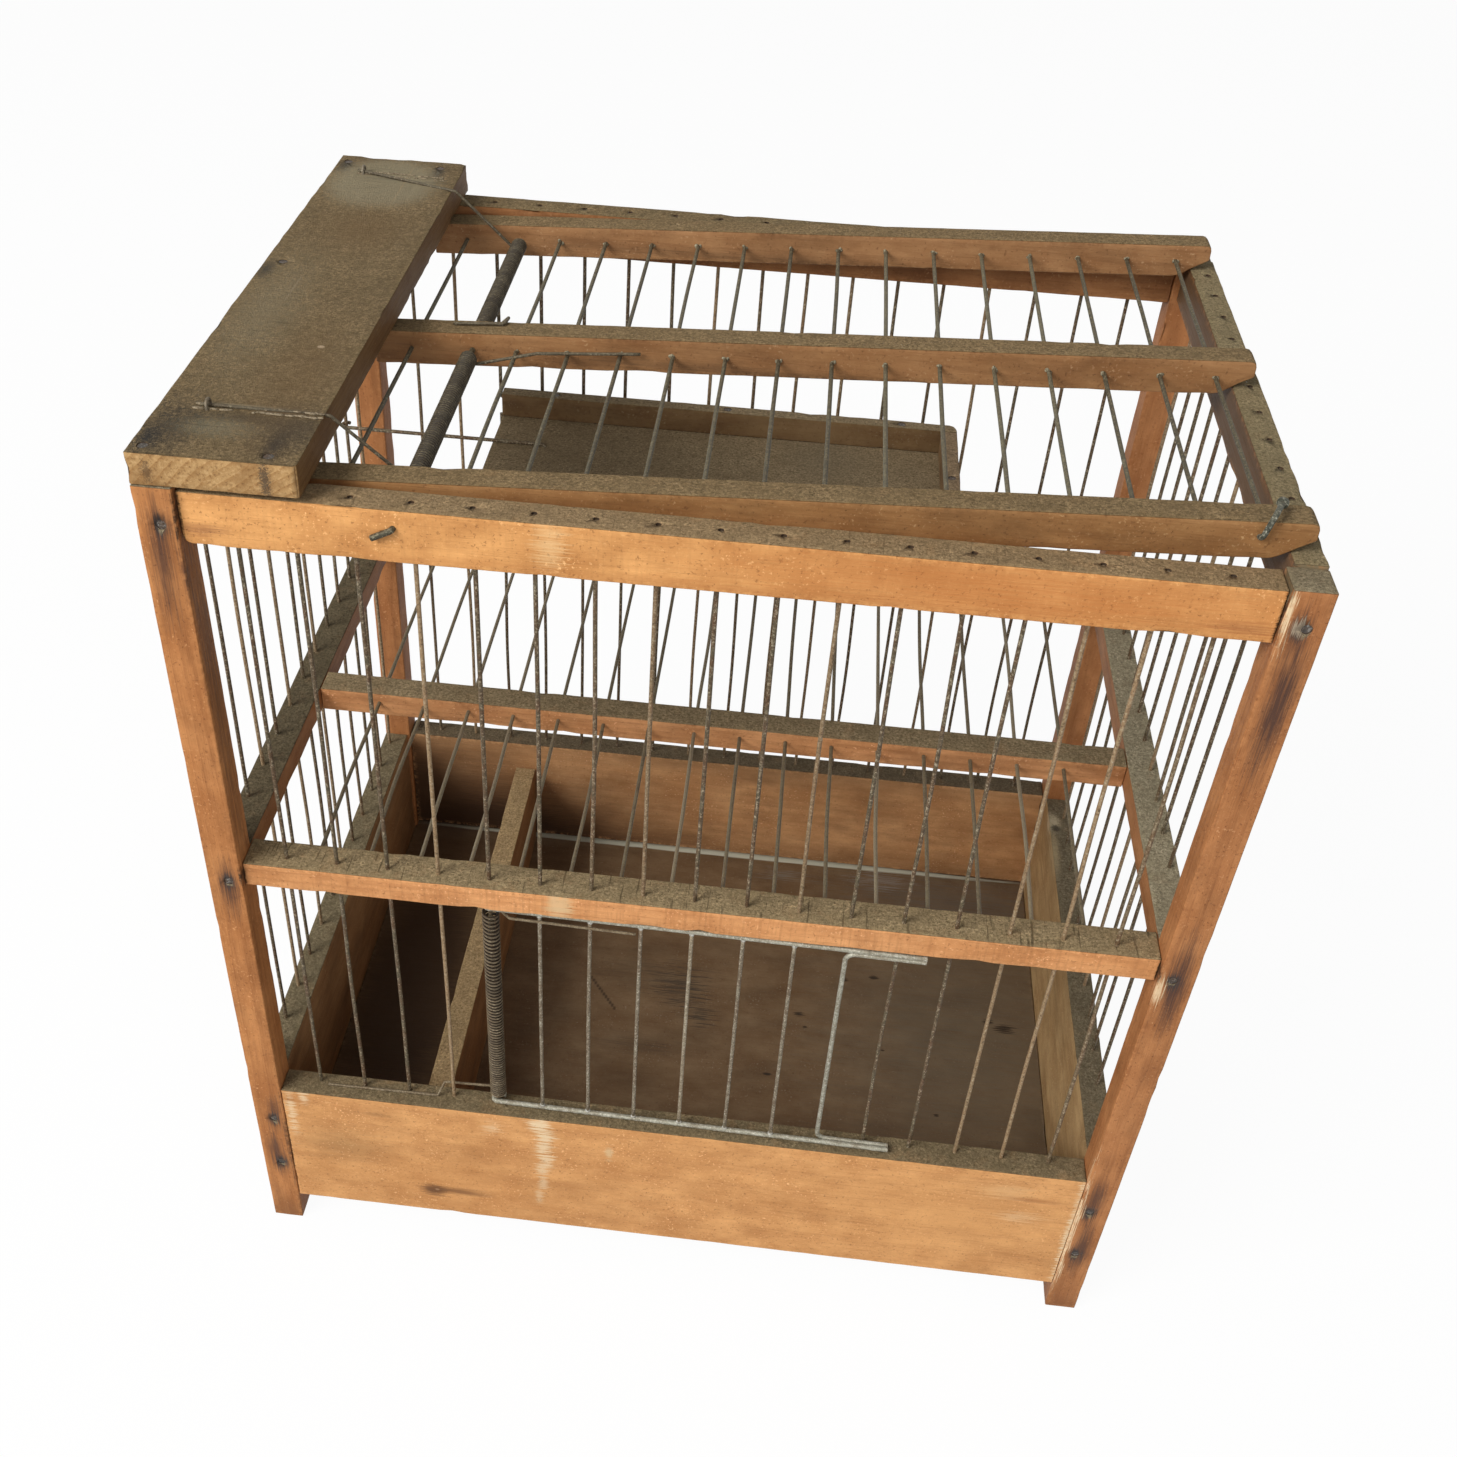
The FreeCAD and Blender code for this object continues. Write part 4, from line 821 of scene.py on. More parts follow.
    # The first row is a painted shadow: the floor is darkened along the left board, where the board's shadow falls.
    rows = [(40.0, 130.0, 52.0, 170.0, rgb(0.05, 0.026, 0.011), 0.95, 0.45, 0.1),
            (165.0, 155.0, 34.0, 12.0, print_tone, 0.5, 0.9, 0.9),
            (183.0, 148.0, 13.0, 15.0, print_tone, 0.75, 0.8, 1.6),
            (194.0, 132.0, 9.0, 10.0, print_tone, 0.75, 0.8, 1.6),
            (165.0, 106.0, 30.0, 10.0, print_tone, 0.5, 0.9, 0.6),
            (345.0, 130.0, 120.0, 170.0, rgb(0.12, 0.103, 0.072), 0.9, 0.9, 0.3),
            (330.0, 235.0, 90.0, 24.0, rgb(0.13, 0.11, 0.085), 0.8, 0.8, 0.5),
            (290.0, 246.0, 16.0, 6.0, rgb(0.26, 0.23, 0.2), 0.7, 0.6, 1.4),
            (232.0, 243.0, 12.0, 5.0, rgb(0.2, 0.18, 0.15), 0.6, 0.6, 1.4),
            (230.0, 20.0, 240.0, 60.0, rgb(0.1, 0.066, 0.034), 0.6, 0.9, 0.3)]
    rows += [(134.0 + 1.35 * step, 148.5 - 1.8 * step, 1.2, 1.9, dirt_and_shade, 0.85, 0.6, 0.2) for step in range(12)]
    spots = ((246.6, 138.4, 2.4), (250.0, 130.0, 1.1), (355.0, 143.6, 4.2), (347.0, 147.0, 2.2),
             (270.5, 166.0, 1.6), (291.0, 120.0, 1.0), (262.0, 92.0, 1.1), (232.0, 96.0, 1.5),
             (318.0, 82.0, 1.0), (286.0, 170.0, 1.8))
    rows += [(x, y, size * 1.6, size, dirt_and_shade, 0.95, 0.4, 0.6) for x, y, size in spots]
    marks = face_marks(2, floor_top, 8.0, rows)
    # The strip of floor seen under the rear board: clean wood, painted pale as if lit from behind.
    marks.append(mark((192.0, 255.5, floor_top + 1), (210.0, 3.2, 5.0), rgb(0.62, 0.6, 0.47), 1.0, 0.2, 0.1))
    floor = wood("floor_wood", 0, (40.0, -260.0), (0.2, 0.126, 0.066), spacing=8.0, rings=0.08, grime=0.4,
                 streaks=0.1, cover=0.0, marks=marks, seed=10.0)
    square_timber("floor_board", 0, floor, seed=10.0)


def make_rails():
    marks = face_marks(1, 0, 8.0, (
        (140.0, 233.5, 6.0, 14.0, fresh, 0.75, 0.35, 0.5),
        (139.0, 229.0, 7.0, 1.2, fresh, 0.6, 0.6, 0.9),
        (132.0, 230.0, 6.0, 9.0, tinted(board_tone, 0.85, 0.75, 0.7), 0.5, 0.8, 0.5)))
    marks += face_marks(1, 2.7, 14.0, [(x, 230.0, 0.8, 9.0, seam_tone, 0.8, 0.5, 0.4) for x in (14.2, 370.8)])
    middle = wood("mid_rail_wood", 0, (-60.0, 120.0), (0.72, 0.34, 0.135), spacing=3.6, rings=0.2, grime=0.25,
                  saw=0.7, streaks=0.2, marks=marks, dust=(0.3, 0.232, 0.125), seed=11.0)
    square_timber("front_mid_rail", 0, middle, seed=11.0, rough=1.2)
    hidden = wood("cross_rail_wood", 0, (60.0, 60.0), (0.6, 0.285, 0.118), spacing=3.6, grime=0.5,
                  dust=(0.26, 0.2, 0.11), seed=12.0)
    square_timber("cross_rail", 0, hidden, seed=12.0)
    square_timber("rear_mid_rail", 0, hidden, seed=13.0)
    for side, tone, dust, seed in (("left", (0.36, 0.16, 0.06), (0.108, 0.087, 0.049), 14.0),
                                   ("right", (0.42, 0.19, 0.075), (0.345, 0.305, 0.2), 15.0)):
        material = wood(side + "_rail_wood", 1, (180.0, 90.0), tone, spacing=3.6, grime=0.45,
                        dust=dust, seed=seed)
        square_timber(side + "_mid_rail", 1, material, seed=seed)
    # Dust on the front end of the right top rail, and its inner face darker along its whole length.
    end_dust_and_dark_face = [mark((380.0, 13.0, 408.0), (12.0, 3.5, 4.5), rgb(0.2, 0.155, 0.088), 0.97, 0.3, 0.2),
                mark((373.5, 140.0, 398.0), (2.5, 500.0, 16.0), rgb(0.07, 0.042, 0.022), 0.85, 0.5, 0.3)]
    side = wood("right_top_rail_wood", 1, (180.0, 90.0), (0.38, 0.18, 0.07), spacing=3.6, grime=0.5,
                marks=end_dust_and_dark_face, dust=(0.27, 0.22, 0.12), seed=17.0)
    square_timber("right_top_rail", 1, side, seed=17.0, rough=1.7)
    square_timber("left_top_rail", 1, side, seed=16.0)
    marks = face_marks(1, 0, 6.0, (
        (21.0, 391.0, 12.0, 3.0, rgb(0.2, 0.07, 0.035), 0.7, 0.9, 0.5),
        (360.0, 389.5, 15.0, 3.5, rgb(0.22, 0.07, 0.03), 0.8, 0.9, 0.5),
        (138.0, 397.0, 7.0, 13.0, rgb(0.86, 0.58, 0.29), 0.6, 0.7, 0.7)))
    marks += face_marks(1, 0, 8.0, (
        (290.0, 395.0, 130.0, 22.0, rgb(0.5, 0.175, 0.045), 0.8, 0.9, 0.3),
        (200.0, 386.0, 170.0, 3.4, rgb(0.45, 0.17, 0.05), 0.5, 0.9, 0.6)))
    marks += face_marks(1, 2.3, 6.0, [(x, 395.0, 0.9, 14.0, seam_tone, 0.85, 0.5, 0.4) for x in (14.4, 370.8)])
    front = wood("front_top_rail_wood", 0, (-130.0, 398.0), (0.72, 0.35, 0.12), spacing=7.5, rings=0.12,
                 grime=0.1, saw=0.3, streaks=0.14, marks=marks, dust=(0.315, 0.225, 0.118), seed=18.0)
    rear = wood("rear_top_rail_wood", 0, (60.0, 60.0), (0.34, 0.15, 0.056), spacing=3.6, rings=0.35, grime=0.6,
                dust=(0.215, 0.16, 0.08), seed=19.0)
    left_end = (((0, -1), (2, -1)), 4.0)
    square_timber("front_top_rail", 0, front, seed=18.0, rough=1.2, corner=left_end)
    square_timber("rear_top_rail", 0, rear, seed=19.0, rough=1.7, corner=left_end)


def make_plank():
    high = extent("top_plank")[1]
    dark = rgb(0.028, 0.026, 0.024)
    pale = rgb(0.33, 0.27, 0.17)
    brown = rgb(0.2, 0.125, 0.055)
    nails = ((5.0, 5.0, 1.2), (46.5, 5.0, 1.9), (5.0, 262.0, 1.3), (46.5, 262.0, 1.6), (3.0, 150.0, 1.4))
    marks = face_marks(2, high.z, 5.0, [(x, y + 4.0 * run * (1 if y < 100 else -1), 5.0, 8.0 * run, dark, 0.9,
                                         0.9, 0.7) for x, y, run in nails])
    marks += face_marks(2, high.z, 3.0, (
        (42.0, 83.0, 1.6, 1.3, rgb(0.8, 0.62, 0.42), 1.0, 0.4, 0.3),
        (36.0, 34.5, 25.0, 1.3, dark, 0.85, 0.5, 0.6),
        (34.0, 36.2, 22.0, 0.9, pale, 0.8, 0.6, 1.2),
        (34.0, 244.5, 24.0, 1.4, dark, 0.8, 0.6, 0.6),
        (34.0, 247.0, 20.0, 0.9, pale, 0.8, 0.6, 1.2),
        (50.0, 24.0, 20.0, 22.0, dark, 0.72, 0.9, 0.9),
        (8.0, 18.0, 15.0, 26.0, dark, 0.7, 0.9, 0.9),
        (30.0, 28.0, 26.0, 6.0, dark, 0.6, 0.9, 0.9)))
    marks.append(mark((26.0, 240.0, high.z), (27.0, 32.0, 8.0), rgb(0.36, 0.31, 0.2), 0.7, 0.3, 0.35))
    marks += face_marks(2, high.z, 3.0, (
        (42.0, 60.0, 20.0, 60.0, brown, 0.6, 0.9, 0.9),
        (30.0, 190.0, 26.0, 34.0, brown, 0.65, 0.9, 0.9),
        (14.0, 110.0, 16.0, 60.0, rgb(0.3, 0.245, 0.15), 0.5, 0.9, 1.2),
        (24.0, 20.0, 16.0, 8.0, rgb(0.27, 0.25, 0.17), 0.5, 0.9, 1.2),
        (34.8, 240.0, 0.45, 30.0, rgb(0.38, 0.29, 0.17), 0.9, 0.4, 0.5),
        (18.5, 128.0, 0.5, 14.0, rgb(0.3, 0.23, 0.14), 0.8, 0.4, 0.5)))
    front = face_marks(1, 0.0, 9.0, (
        (46.0, 413.0, 2.2, 9.0, dark, 0.75, 0.6, 0.8),
        (7.0, 413.0, 2.0, 5.0, rgb(0.06, 0.035, 0.02), 0.6, 0.6, 0.8)))
    material = wood("plank_wood", 1, (220.0, -4.0), (0.16, 0.083, 0.028), spacing=3.4, wander=3.0,
                    dust=(0.2, 0.147, 0.074), grime=0.15, saw=0.3, marks=front, dust_marks=marks,
                    end=(0.47, 0.285, 0.12), seed=20.0)
    square_timber("top_plank", 1, material, seed=20.0, rough=2.4, corner=(((0, 1), (1, -1)), 2.0))


# Lid

lid_bar_tail = 39.0
lid_tip_inset = 4.5
right_top_rail_width = 11.5
rail_above_posts = 1.0
rest_gap = 0.3
lid_bevel_angle = 30.0
lid_bar_rounds = (edge_round, edge_round, 2.6, 0.9, 12.0)


def lid_place(along, up):
    """X and Z in the corner frame of a place on the tipped lid."""
    angle = math.radians(lid_rest_angle)
    x = lid_axle_x + along * math.cos(angle) - up * math.sin(angle)
    z = lid_axle_z + along * math.sin(angle) + up * math.cos(angle)
    return x, z


def lid_bar_corners():
    """The side of a lid bar, with its bevel at the tip that lies on the right top rail, as Z and X."""
    angle = math.radians(lid_rest_angle)
    tip = (cage_width - lid_tip_inset - lid_axle_x) / math.cos(angle)
    across = cage_width - right_top_rail_width - lid_axle_x
    above = post_height + rail_above_posts + rest_gap - lid_axle_z
    rest_along = across * math.cos(angle) + above * math.sin(angle)
    rest_up = above * math.cos(angle) - across * math.sin(angle)
    slope = math.tan(math.radians(lid_bevel_angle))
    half = lid_bar_height / 2
    bevel_start = rest_along - (rest_up + half) / slope
    tip_low = rest_up + (tip - rest_along) * slope
    profile = [(-lid_bar_tail, -half), (-lid_bar_tail, half), (tip, half), (tip, tip_low), (bevel_start, -half)]
    return [tuple(reversed(lid_place(along, up))) for along, up in profile]


def make_lid():
    outline = Outline(lid_bar_corners(), lid_bar_rounds)
    bars = (("lid_front_bar", (0.33, 0.168, 0.062)), ("lid_middle_bar", (0.32, 0.16, 0.064)),
            ("lid_rear_bar", (0.34, 0.172, 0.072)))
    for index, (node, tone) in enumerate(bars):
        low, high = extent(node)
        if node == "lid_front_bar":
            nail_x = extent("lid_bent_nail")[0].x
            marks = [mark((nail_x + 1.0, low.y, lid_axle_z - 1.0), (4.5, 5.0, 2.2), fresh, 0.85, 0.6, 0.8)]
        else:
            marks = [mark((lid_axle_x + 20, high.y, lid_axle_z + 8.0), (34.0, 9.0, 30.0), rgb(0.06, 0.04, 0.025),
                          0.5, 0.9)]
        marks.append(mark((230.0, low.y, lid_axle_z), (190.0, 14.0, 3.0), rgb(0.06, 0.03, 0.014), 0.55, 0.9))
        material = wood("lid_wood_" + str(index), 0, (140.0, 360.0), tone, spacing=5.0, grime=0.45,
                        dust=(0.24, 0.172, 0.085), marks=marks, seed=21.0 + index)
        piece = prism("worn_" + node, outline, 1, low.y, high.y, material, 21.0 + index, 1.1)
        stand_for(piece, node, "lid")


def make_tray():
    high = extent("tray_floor")[1]
    spots = [mark((high.x - 60.0, high.y - 20.0, high.z), (26.0, 30.0, 8.0), rgb(0.2, 0.16, 0.1), 0.5, 0.9)]
    material = wood("tray_wood", 0, (330.0, 280.0), (0.18, 0.108, 0.048), spacing=4.0, rings=0.4, grime=0.6,
                    dust=(0.27, 0.21, 0.12), dust_marks=spots, seed=24.0)
    side = wood("tray_side_wood", 1, (270.0, 100.0), (0.22, 0.135, 0.065), spacing=4.0, grime=0.6,
                dust=(0.3, 0.22, 0.13), seed=25.0)
    square_timber("tray_floor", 0, material, "tray", 24.0)
    square_timber("tray_right_rim", 1, side, "tray", 25.0)
    square_timber("tray_back_rim", 0, material, "tray", 26.0, corner=(((0, 1), (1, 1)), 5.5))


# Wires

pale_wire = (0.42, 0.35, 0.24)
wall_wire = metal("wall_wire", (0.11, 0.086, 0.05), (0.12, 0.066, 0.033), (0.48, 0.41, 0.29), (0.44, 0.29, 0.155), 0.5)
grille_wire = metal("grille_wire", (0.17, 0.145, 0.09), (0.14, 0.1, 0.06), (0.42, 0.37, 0.26), pale_wire, 0.8)
lid_wire = metal("lid_wire", (0.062, 0.057, 0.036), (0.05, 0.04, 0.024), (0.34, 0.32, 0.22), (0.17, 0.155, 0.1), 0.55)
door_wire = metal("door_wire", (0.24, 0.205, 0.145), (0.17, 0.12, 0.075), (0.62, 0.57, 0.46), pale_wire, 0.25, 0.35,
                  seed=2.0)
frame_wire = metal("frame_wire", (0.35, 0.34, 0.27), (0.26, 0.23, 0.17), (0.68, 0.66, 0.57), None, 0.15, 0.4,
                   seed=6.0)
spring_wire = metal("spring_wire", (0.21, 0.162, 0.098), (0.175, 0.123, 0.067), (0.55, 0.46, 0.31), None, 0.25, 0.1,
                    groove_shade=True, seed=3.0)
dark_spring = metal("dark_spring", (0.11, 0.09, 0.055), (0.088, 0.065, 0.036), (0.36, 0.31, 0.21), None, 0.35, 0.1,
                    groove_shade=True, seed=8.0)
staple_wire = metal("staple_wire", (0.2, 0.17, 0.12), (0.16, 0.12, 0.08), (0.42, 0.38, 0.3), None, 0.5, seed=3.5)
nail_iron = metal("nail_iron", (0.07, 0.065, 0.06), (0.1, 0.06, 0.035), (0.36, 0.34, 0.31), None, 0.15, 0.4, seed=4.0)
bent_iron = metal("bent_iron", (0.1, 0.11, 0.09), (0.07, 0.07, 0.05), (0.55, 0.54, 0.44), None, 0.3, 0.4, seed=7.0)
solder = metal("solder", (0.5, 0.49, 0.44), (0.36, 0.34, 0.29), (0.78, 0.77, 0.72), None, 0.1, 0.5, seed=5.0)


def bowed_path(low, high, axis, supports, bow, chance):
    """A straight run with a slight bow between each two supports."""
    middle = (low + high) / 2
    start = low[axis]
    end = high[axis]
    marks = sorted({start, end, *[mark for mark in supports if start < mark < end]})
    directions = []
    for index in range(len(marks) - 1):
        turn = chance.uniform(0, 2 * math.pi)
        directions.append((math.cos(turn), math.sin(turn), chance.uniform(0.15, 1.0) * bow))
    path = []
    for index in range(len(marks) - 1):
        steps = max(2, int((marks[index + 1] - marks[index]) / 0.006))
        for step in range(steps + (index == len(marks) - 2)):
            share = step / steps
            place = middle.copy()
            place[axis] = marks[index] + (marks[index + 1] - marks[index]) * share
            reach = math.sin(math.pi * share) ** 2 * directions[index][2]
            place[(axis + 1) % 3] += directions[index][0] * reach
            place[(axis + 2) % 3] += directions[index][1] * reach
            path.append(place)
    return path


rails_z = [97.5, 224.0, 236.0, 386.0]
post_supports = [value * millimetre for value in rails_z]


def make_wires(node, axis, supports, bow, body="cage", material=wall_wire, seed=1):
    """Slightly bent wires in place of the straight ones of a node."""
    chance = random.Random(seed)
    tubes = []
    tones = []
    for low, high in solids_of(node):
        tones.append(0.75 * max(0.0, chance.uniform(-0.6, 0.9)) ** 1.2)
        radius = min(high - low) / 2
        path = bowed_path(low, high, axis, supports, bow, chance)
        radii = [radius * (0.97 + 0.03 * noise.noise(place * 300)) for place in path]
        tubes.append(tube(path, radii))
    stand_for(join_tubes("bent_" + node, tubes, material, tones), node, body)


def make_all_wires():
    make_wires("front_wall_wires", 2, post_supports, 0.0007, seed=31)
    make_wires("front_upper_wires", 2, post_supports, 0.0006, seed=32)
    make_wires("rear_wall_wires", 2, post_supports, 0.0009, seed=33)
    make_wires("left_wall_wires", 2, post_supports, 0.0008, seed=34)
    make_wires("right_wall_wires", 2, post_supports, 0.0008, seed=35)
    grille = [at(0, value, 0).y for value in (17.7, 116.0, 129.0, 253.8)]
    make_wires("grille_wires", 1, grille, 0.0008, "cage", grille_wire, 36)
    bars = [at(0, value, 0).y for value in (31.5, 133.0, 144.5, 240.7)]
    make_wires("lid_wires", 1, bars, 0.0003, "lid", lid_wire, 37)
    make_wires("lid_tail_wire", 1, bars, 0.0003, "lid", lid_wire, 38)
    make_wires("door_bars", 2, [], 0.0003, "door", door_wire, seed=39)


# Springs

def rounded_path(points, bend, steps=8):
    """Straight runs through points with a round bend at each."""
    path = [points[0]]
    for index in range(1, len(points) - 1):
        before = (points[index] - points[index - 1]).normalized()
        after = (points[index + 1] - points[index]).normalized()
        turn = before.angle(after)
        setback = bend * math.tan(turn / 2)
        start = points[index] - before * setback
        end = points[index] + after * setback
        if turn < 0.01:
            path.append(points[index])
            continue
        middle = (start + end) / 2
        centre = points[index] + (middle - points[index]).normalized() * (bend / math.cos(turn / 2))
        for step in range(steps + 1):
            arm = (start - centre).slerp(end - centre, step / steps)
            path.append(centre + arm)
    path.append(points[-1])
    return path


def refine(path, step):
    """More points on the long straight runs of a path."""
    result = [path[0]]
    for index in range(1, len(path)):
        length = (path[index] - path[index - 1]).length
        pieces = max(1, math.ceil(length / step))
        for piece in range(1, pieces + 1):
            result.append(path[index - 1].lerp(path[index], piece / pieces))
    return result


# The springs' wire as the part has it, whose arms touch what they press on with the rest gap between
lid_arm_radius = 0.65
door_arm_radius = 0.6
arm_step = 3.0
coil_reach = 3.5
turn_points = 14


def coil_path(start, end, side, up, radius, first_angle, turns, bunch=0.0):
    """Points of a helix. bunch draws the turns together near the start."""
    total = turns * 2 * math.pi
    count = int(turns * turn_points)
    path = []
    for index in range(count + 1):
        share = index / count
        along = share + bunch * (share * share - share)
        angle = first_angle + share * total
        uneven = 1 + 0.012 * noise.noise(Vector((share * 40, first_angle, turns)))
        arm = side * math.cos(angle) + up * math.sin(angle)
        path.append(start + (end - start) * along + arm * radius * uneven)
    return path


def add_spring(name, node, lead_in, coil, lead_out, bend, radius, other_body, start, end):
    before = rounded_path(lead_in + [coil[0]], bend)[:-1]
    after = rounded_path([coil[-1]] + lead_out, bend)[1:]
    path = refine(before + [coil[0]], arm_step)[:-1] + coil + refine([coil[-1]] + after, arm_step)[1:]
    placed = [at(*place) for place in path]
    sides = 10
    vertices, faces = tube(placed, [radius * millimetre] * len(placed), sides)
    axle = at(*end) - at(*start)
    # Painted shade and highlight: on the coil this attribute is high on the outer crest of each turn and low on its
    # sides, which the spring's material paints dark for the shade between the turns; shine varies the crest from turn
    # to turn, and the arms get a flat 0.8.
    wear_and_groove_shade = []
    for index, vertex in enumerate(vertices):
        centre = placed[index // sides]
        arm = centre - at(*start)
        arm = arm - axle * (arm.dot(axle) / axle.length_squared)
        outer = (vertex - centre).normalized().dot(arm.normalized())
        coiled = arm.length < millimetre * coil_reach
        turn = (index // sides) // turn_points
        shine = max(0.3, min(1.0, 0.75 + 0.55 * noise.noise(Vector((turn * 0.63, radius, 0.5)))))
        wear_and_groove_shade.append(shine * max(0.0, min(1.0, (outer - 0.6) / 0.3)) if coiled else 0.8)
    piece = add_object(name, vertices, faces, spring_wire if other_body == "door" else dark_spring, wear_and_groove_shade)
    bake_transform(piece)
    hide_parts(node)


lid_coil_radius = 2.85
lid_coil_wire = 0.62


def plank_side(start_y, end_y, turns, arm_x, arm_y, leave):
    """A lid spring's coil, and its arm that crosses the plank and falls to the coil."""
    edge_x = plank_width + 2.0
    edge_z = plank_top + lid_arm_radius + rest_gap
    to_axle = Vector((lid_axle_x - edge_x, lid_axle_z - edge_z))
    direction = math.atan2(to_axle.y, to_axle.x) - math.asin(lid_coil_radius / to_axle.length)
    fall = math.sqrt(to_axle.length ** 2 - lid_coil_radius ** 2)
    first_angle = direction - math.pi / 2
    extra = ((leave - math.pi / 2 - first_angle) / (2 * math.pi)) % 1
    start = Vector((lid_axle_x, start_y, lid_axle_z))
    end = Vector((lid_axle_x, end_y, lid_axle_z))
    coil = coil_path(start, end, Vector((1, 0, 0)), Vector((0, 0, 1)), lid_coil_radius, first_angle, turns + extra)
    edge = coil[0] - Vector((math.cos(direction), 0, math.sin(direction))) * fall
    return coil, [Vector((arm_x, arm_y, edge_z)), edge]


def leave_angle(x, z):
    distance = math.hypot(x, z)
    return math.atan2(z, x) + math.asin(lid_coil_radius / distance)


def make_springs():
    hump_x, hump_z = lid_place(26.0, 4.3)
    leave = leave_angle(hump_x - lid_axle_x, hump_z - lid_axle_z)
    coil, lead_in = plank_side(36.0, 126.0, 60, 15.0, 33.0, leave)
    last = coil[-1]
    hump = last + Vector((math.cos(leave), 0.02, math.sin(leave))) * ((hump_x - last.x) / math.cos(leave))
    low = wire_radius + lid_arm_radius + rest_gap
    end_x, end_z = lid_place(66.0, low)
    lead_out = [hump, Vector((end_x, 131.0, end_z))]
    add_spring("wound_front_lid_spring", "front_lid_spring", lead_in, coil, lead_out, 3.0, lid_coil_wire, "lid",
               (lid_axle_x, 38.0, lid_axle_z), (lid_axle_x, 124.0, lid_axle_z))
    top = lid_bar_height / 2 + lid_arm_radius + rest_gap
    over_x, over_z = lid_place(13.0, top)
    leave = leave_angle(over_x - lid_axle_x, over_z - lid_axle_z)
    coil, lead_in = plank_side(236.0, 149.0, 58, 12.5, 250.0, leave)
    last = coil[-1]
    over = last + Vector((math.cos(leave), -0.02, math.sin(leave))) * ((over_x - last.x) / math.cos(leave))
    back_x, back_z = lid_place(-8.0, top)
    lead_out = [over, Vector((over_x, 139.0, over_z)), Vector((back_x, 139.0, back_z))]
    add_spring("wound_rear_lid_spring", "rear_lid_spring", lead_in, coil, lead_out, 2.0, lid_coil_wire, "lid",
               (lid_axle_x, 234.0, lid_axle_z), (lid_axle_x, 151.0, lid_axle_z))


door_coil_radius = 3.0
door_coil_wire = 0.58
hinge_x = 111.5
hinge_y = 8.2


def make_door_spring():
    frame_low = extent("door_bottom_wire")[1].z
    frame_high = extent("door_top_wire")[0].z
    foot = Vector((hinge_x, hinge_y, frame_low + 2.2 + door_arm_radius))
    head = Vector((hinge_x, hinge_y, frame_high - 1.7 - door_arm_radius))
    leave = math.radians(45.0)
    turns = 64 + leave / (2 * math.pi)
    coil = coil_path(foot, head, Vector((1, 0, 0)), Vector((0, -1, 0)), door_coil_radius, -math.pi / 2, turns, 0.25)
    arm_z = 97.5 + rest_gap + door_arm_radius
    arm_y = hinge_y - wire_radius - 0.9 - door_arm_radius
    hook = Vector((coil[0].x - 25.5, coil[0].y, coil[0].z))
    lead_in = [Vector((hinge_x - 77.0, arm_y, arm_z)), Vector((hinge_x - 26.5, arm_y, arm_z)), hook]
    eye = wire_radius + 0.05 + 1.1
    across = -(eye + wire_radius + door_arm_radius + rest_gap)
    last = coil[-1]
    lean = door_lean()
    direction = Vector((math.cos(leave), -math.sin(leave), 0))
    kink = last + direction * ((last.y - hinge_y - across) / math.sin(leave))
    end = Vector((hinge_x + 59.0 * math.cos(lean) + across * math.sin(lean),
                  hinge_y - 59.0 * math.sin(lean) + across * math.cos(lean), last.z))
    add_spring("wound_door_spring", "door_spring", lead_in, coil, [kink, end], 1.6, door_coil_wire, "door",
               (hinge_x, hinge_y, foot.z + 2), (hinge_x, hinge_y, head.z - 2))


def door_lean():
    """The angle by which the door's wires lean forward, from the ends of the bottom wire."""
    bars = solids_of("door_bars")
    first = (bars[0][0] + bars[0][1]) / 2
    last = (bars[-1][0] + bars[-1][1]) / 2
    return math.atan2(first.y - last.y, last.x - first.x)


# Solder on the door

def blob(centre, size, seed):
    mesh = bmesh.new()
    bmesh.ops.create_icosphere(mesh, subdivisions=2, radius=1.0)
    vertices = []
    for vertex in mesh.verts:
        swell = 1 + 0.16 * noise.noise(vertex.co * 1.7 + Vector((seed, seed, seed)))
        offset = Vector([vertex.co[axis] * size[axis] for axis in range(3)]) * swell
        vertices.append(centre + offset)
    faces = [tuple(vertex.index for vertex in face.verts) for face in mesh.faces]
    mesh.free()
    return vertices, faces


# Half sizes of the solder at the foot and at the head of a bar, and its place in from the end, in metres
foot_blob = (0.00125, 0.00105, 0.0013)
head_blob = (0.00115, 0.00105, 0.0011)
blob_inset = 0.0002


def make_solder():
    blobs = []
    for index, (low, high) in enumerate(solids_of("door_bars")):
        middle = (low + high) / 2
        foot = Vector((middle.x, middle.y, low.z + blob_inset))
        head = Vector((middle.x, middle.y, high.z - blob_inset))
        blobs.append(blob(foot, foot_blob, index))
        blobs.append(blob(head, head_blob, index + 20))
    piece = join_tubes("door_solder", blobs, solder)
    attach(piece, "door")


def fluff(name, tone):
    """Plain stuff with a grain: torn wood and clumps of dust."""
    shader = Shader(name)
    grain = shader.noise(shader.place, (1.1, 1.1, 1.1), 4.0, 0.7)
    colour = shader.mix(shader.span(grain, 0.38, 0.62), tinted(tone, 0.45, 0.42, 0.38), tinted(tone, 1.5, 1.5, 1.5))
    shader.set(shader.surface, "Specular IOR Level", 0.2)
    return shader.finish(colour, 0.9, grain, 0.0002)


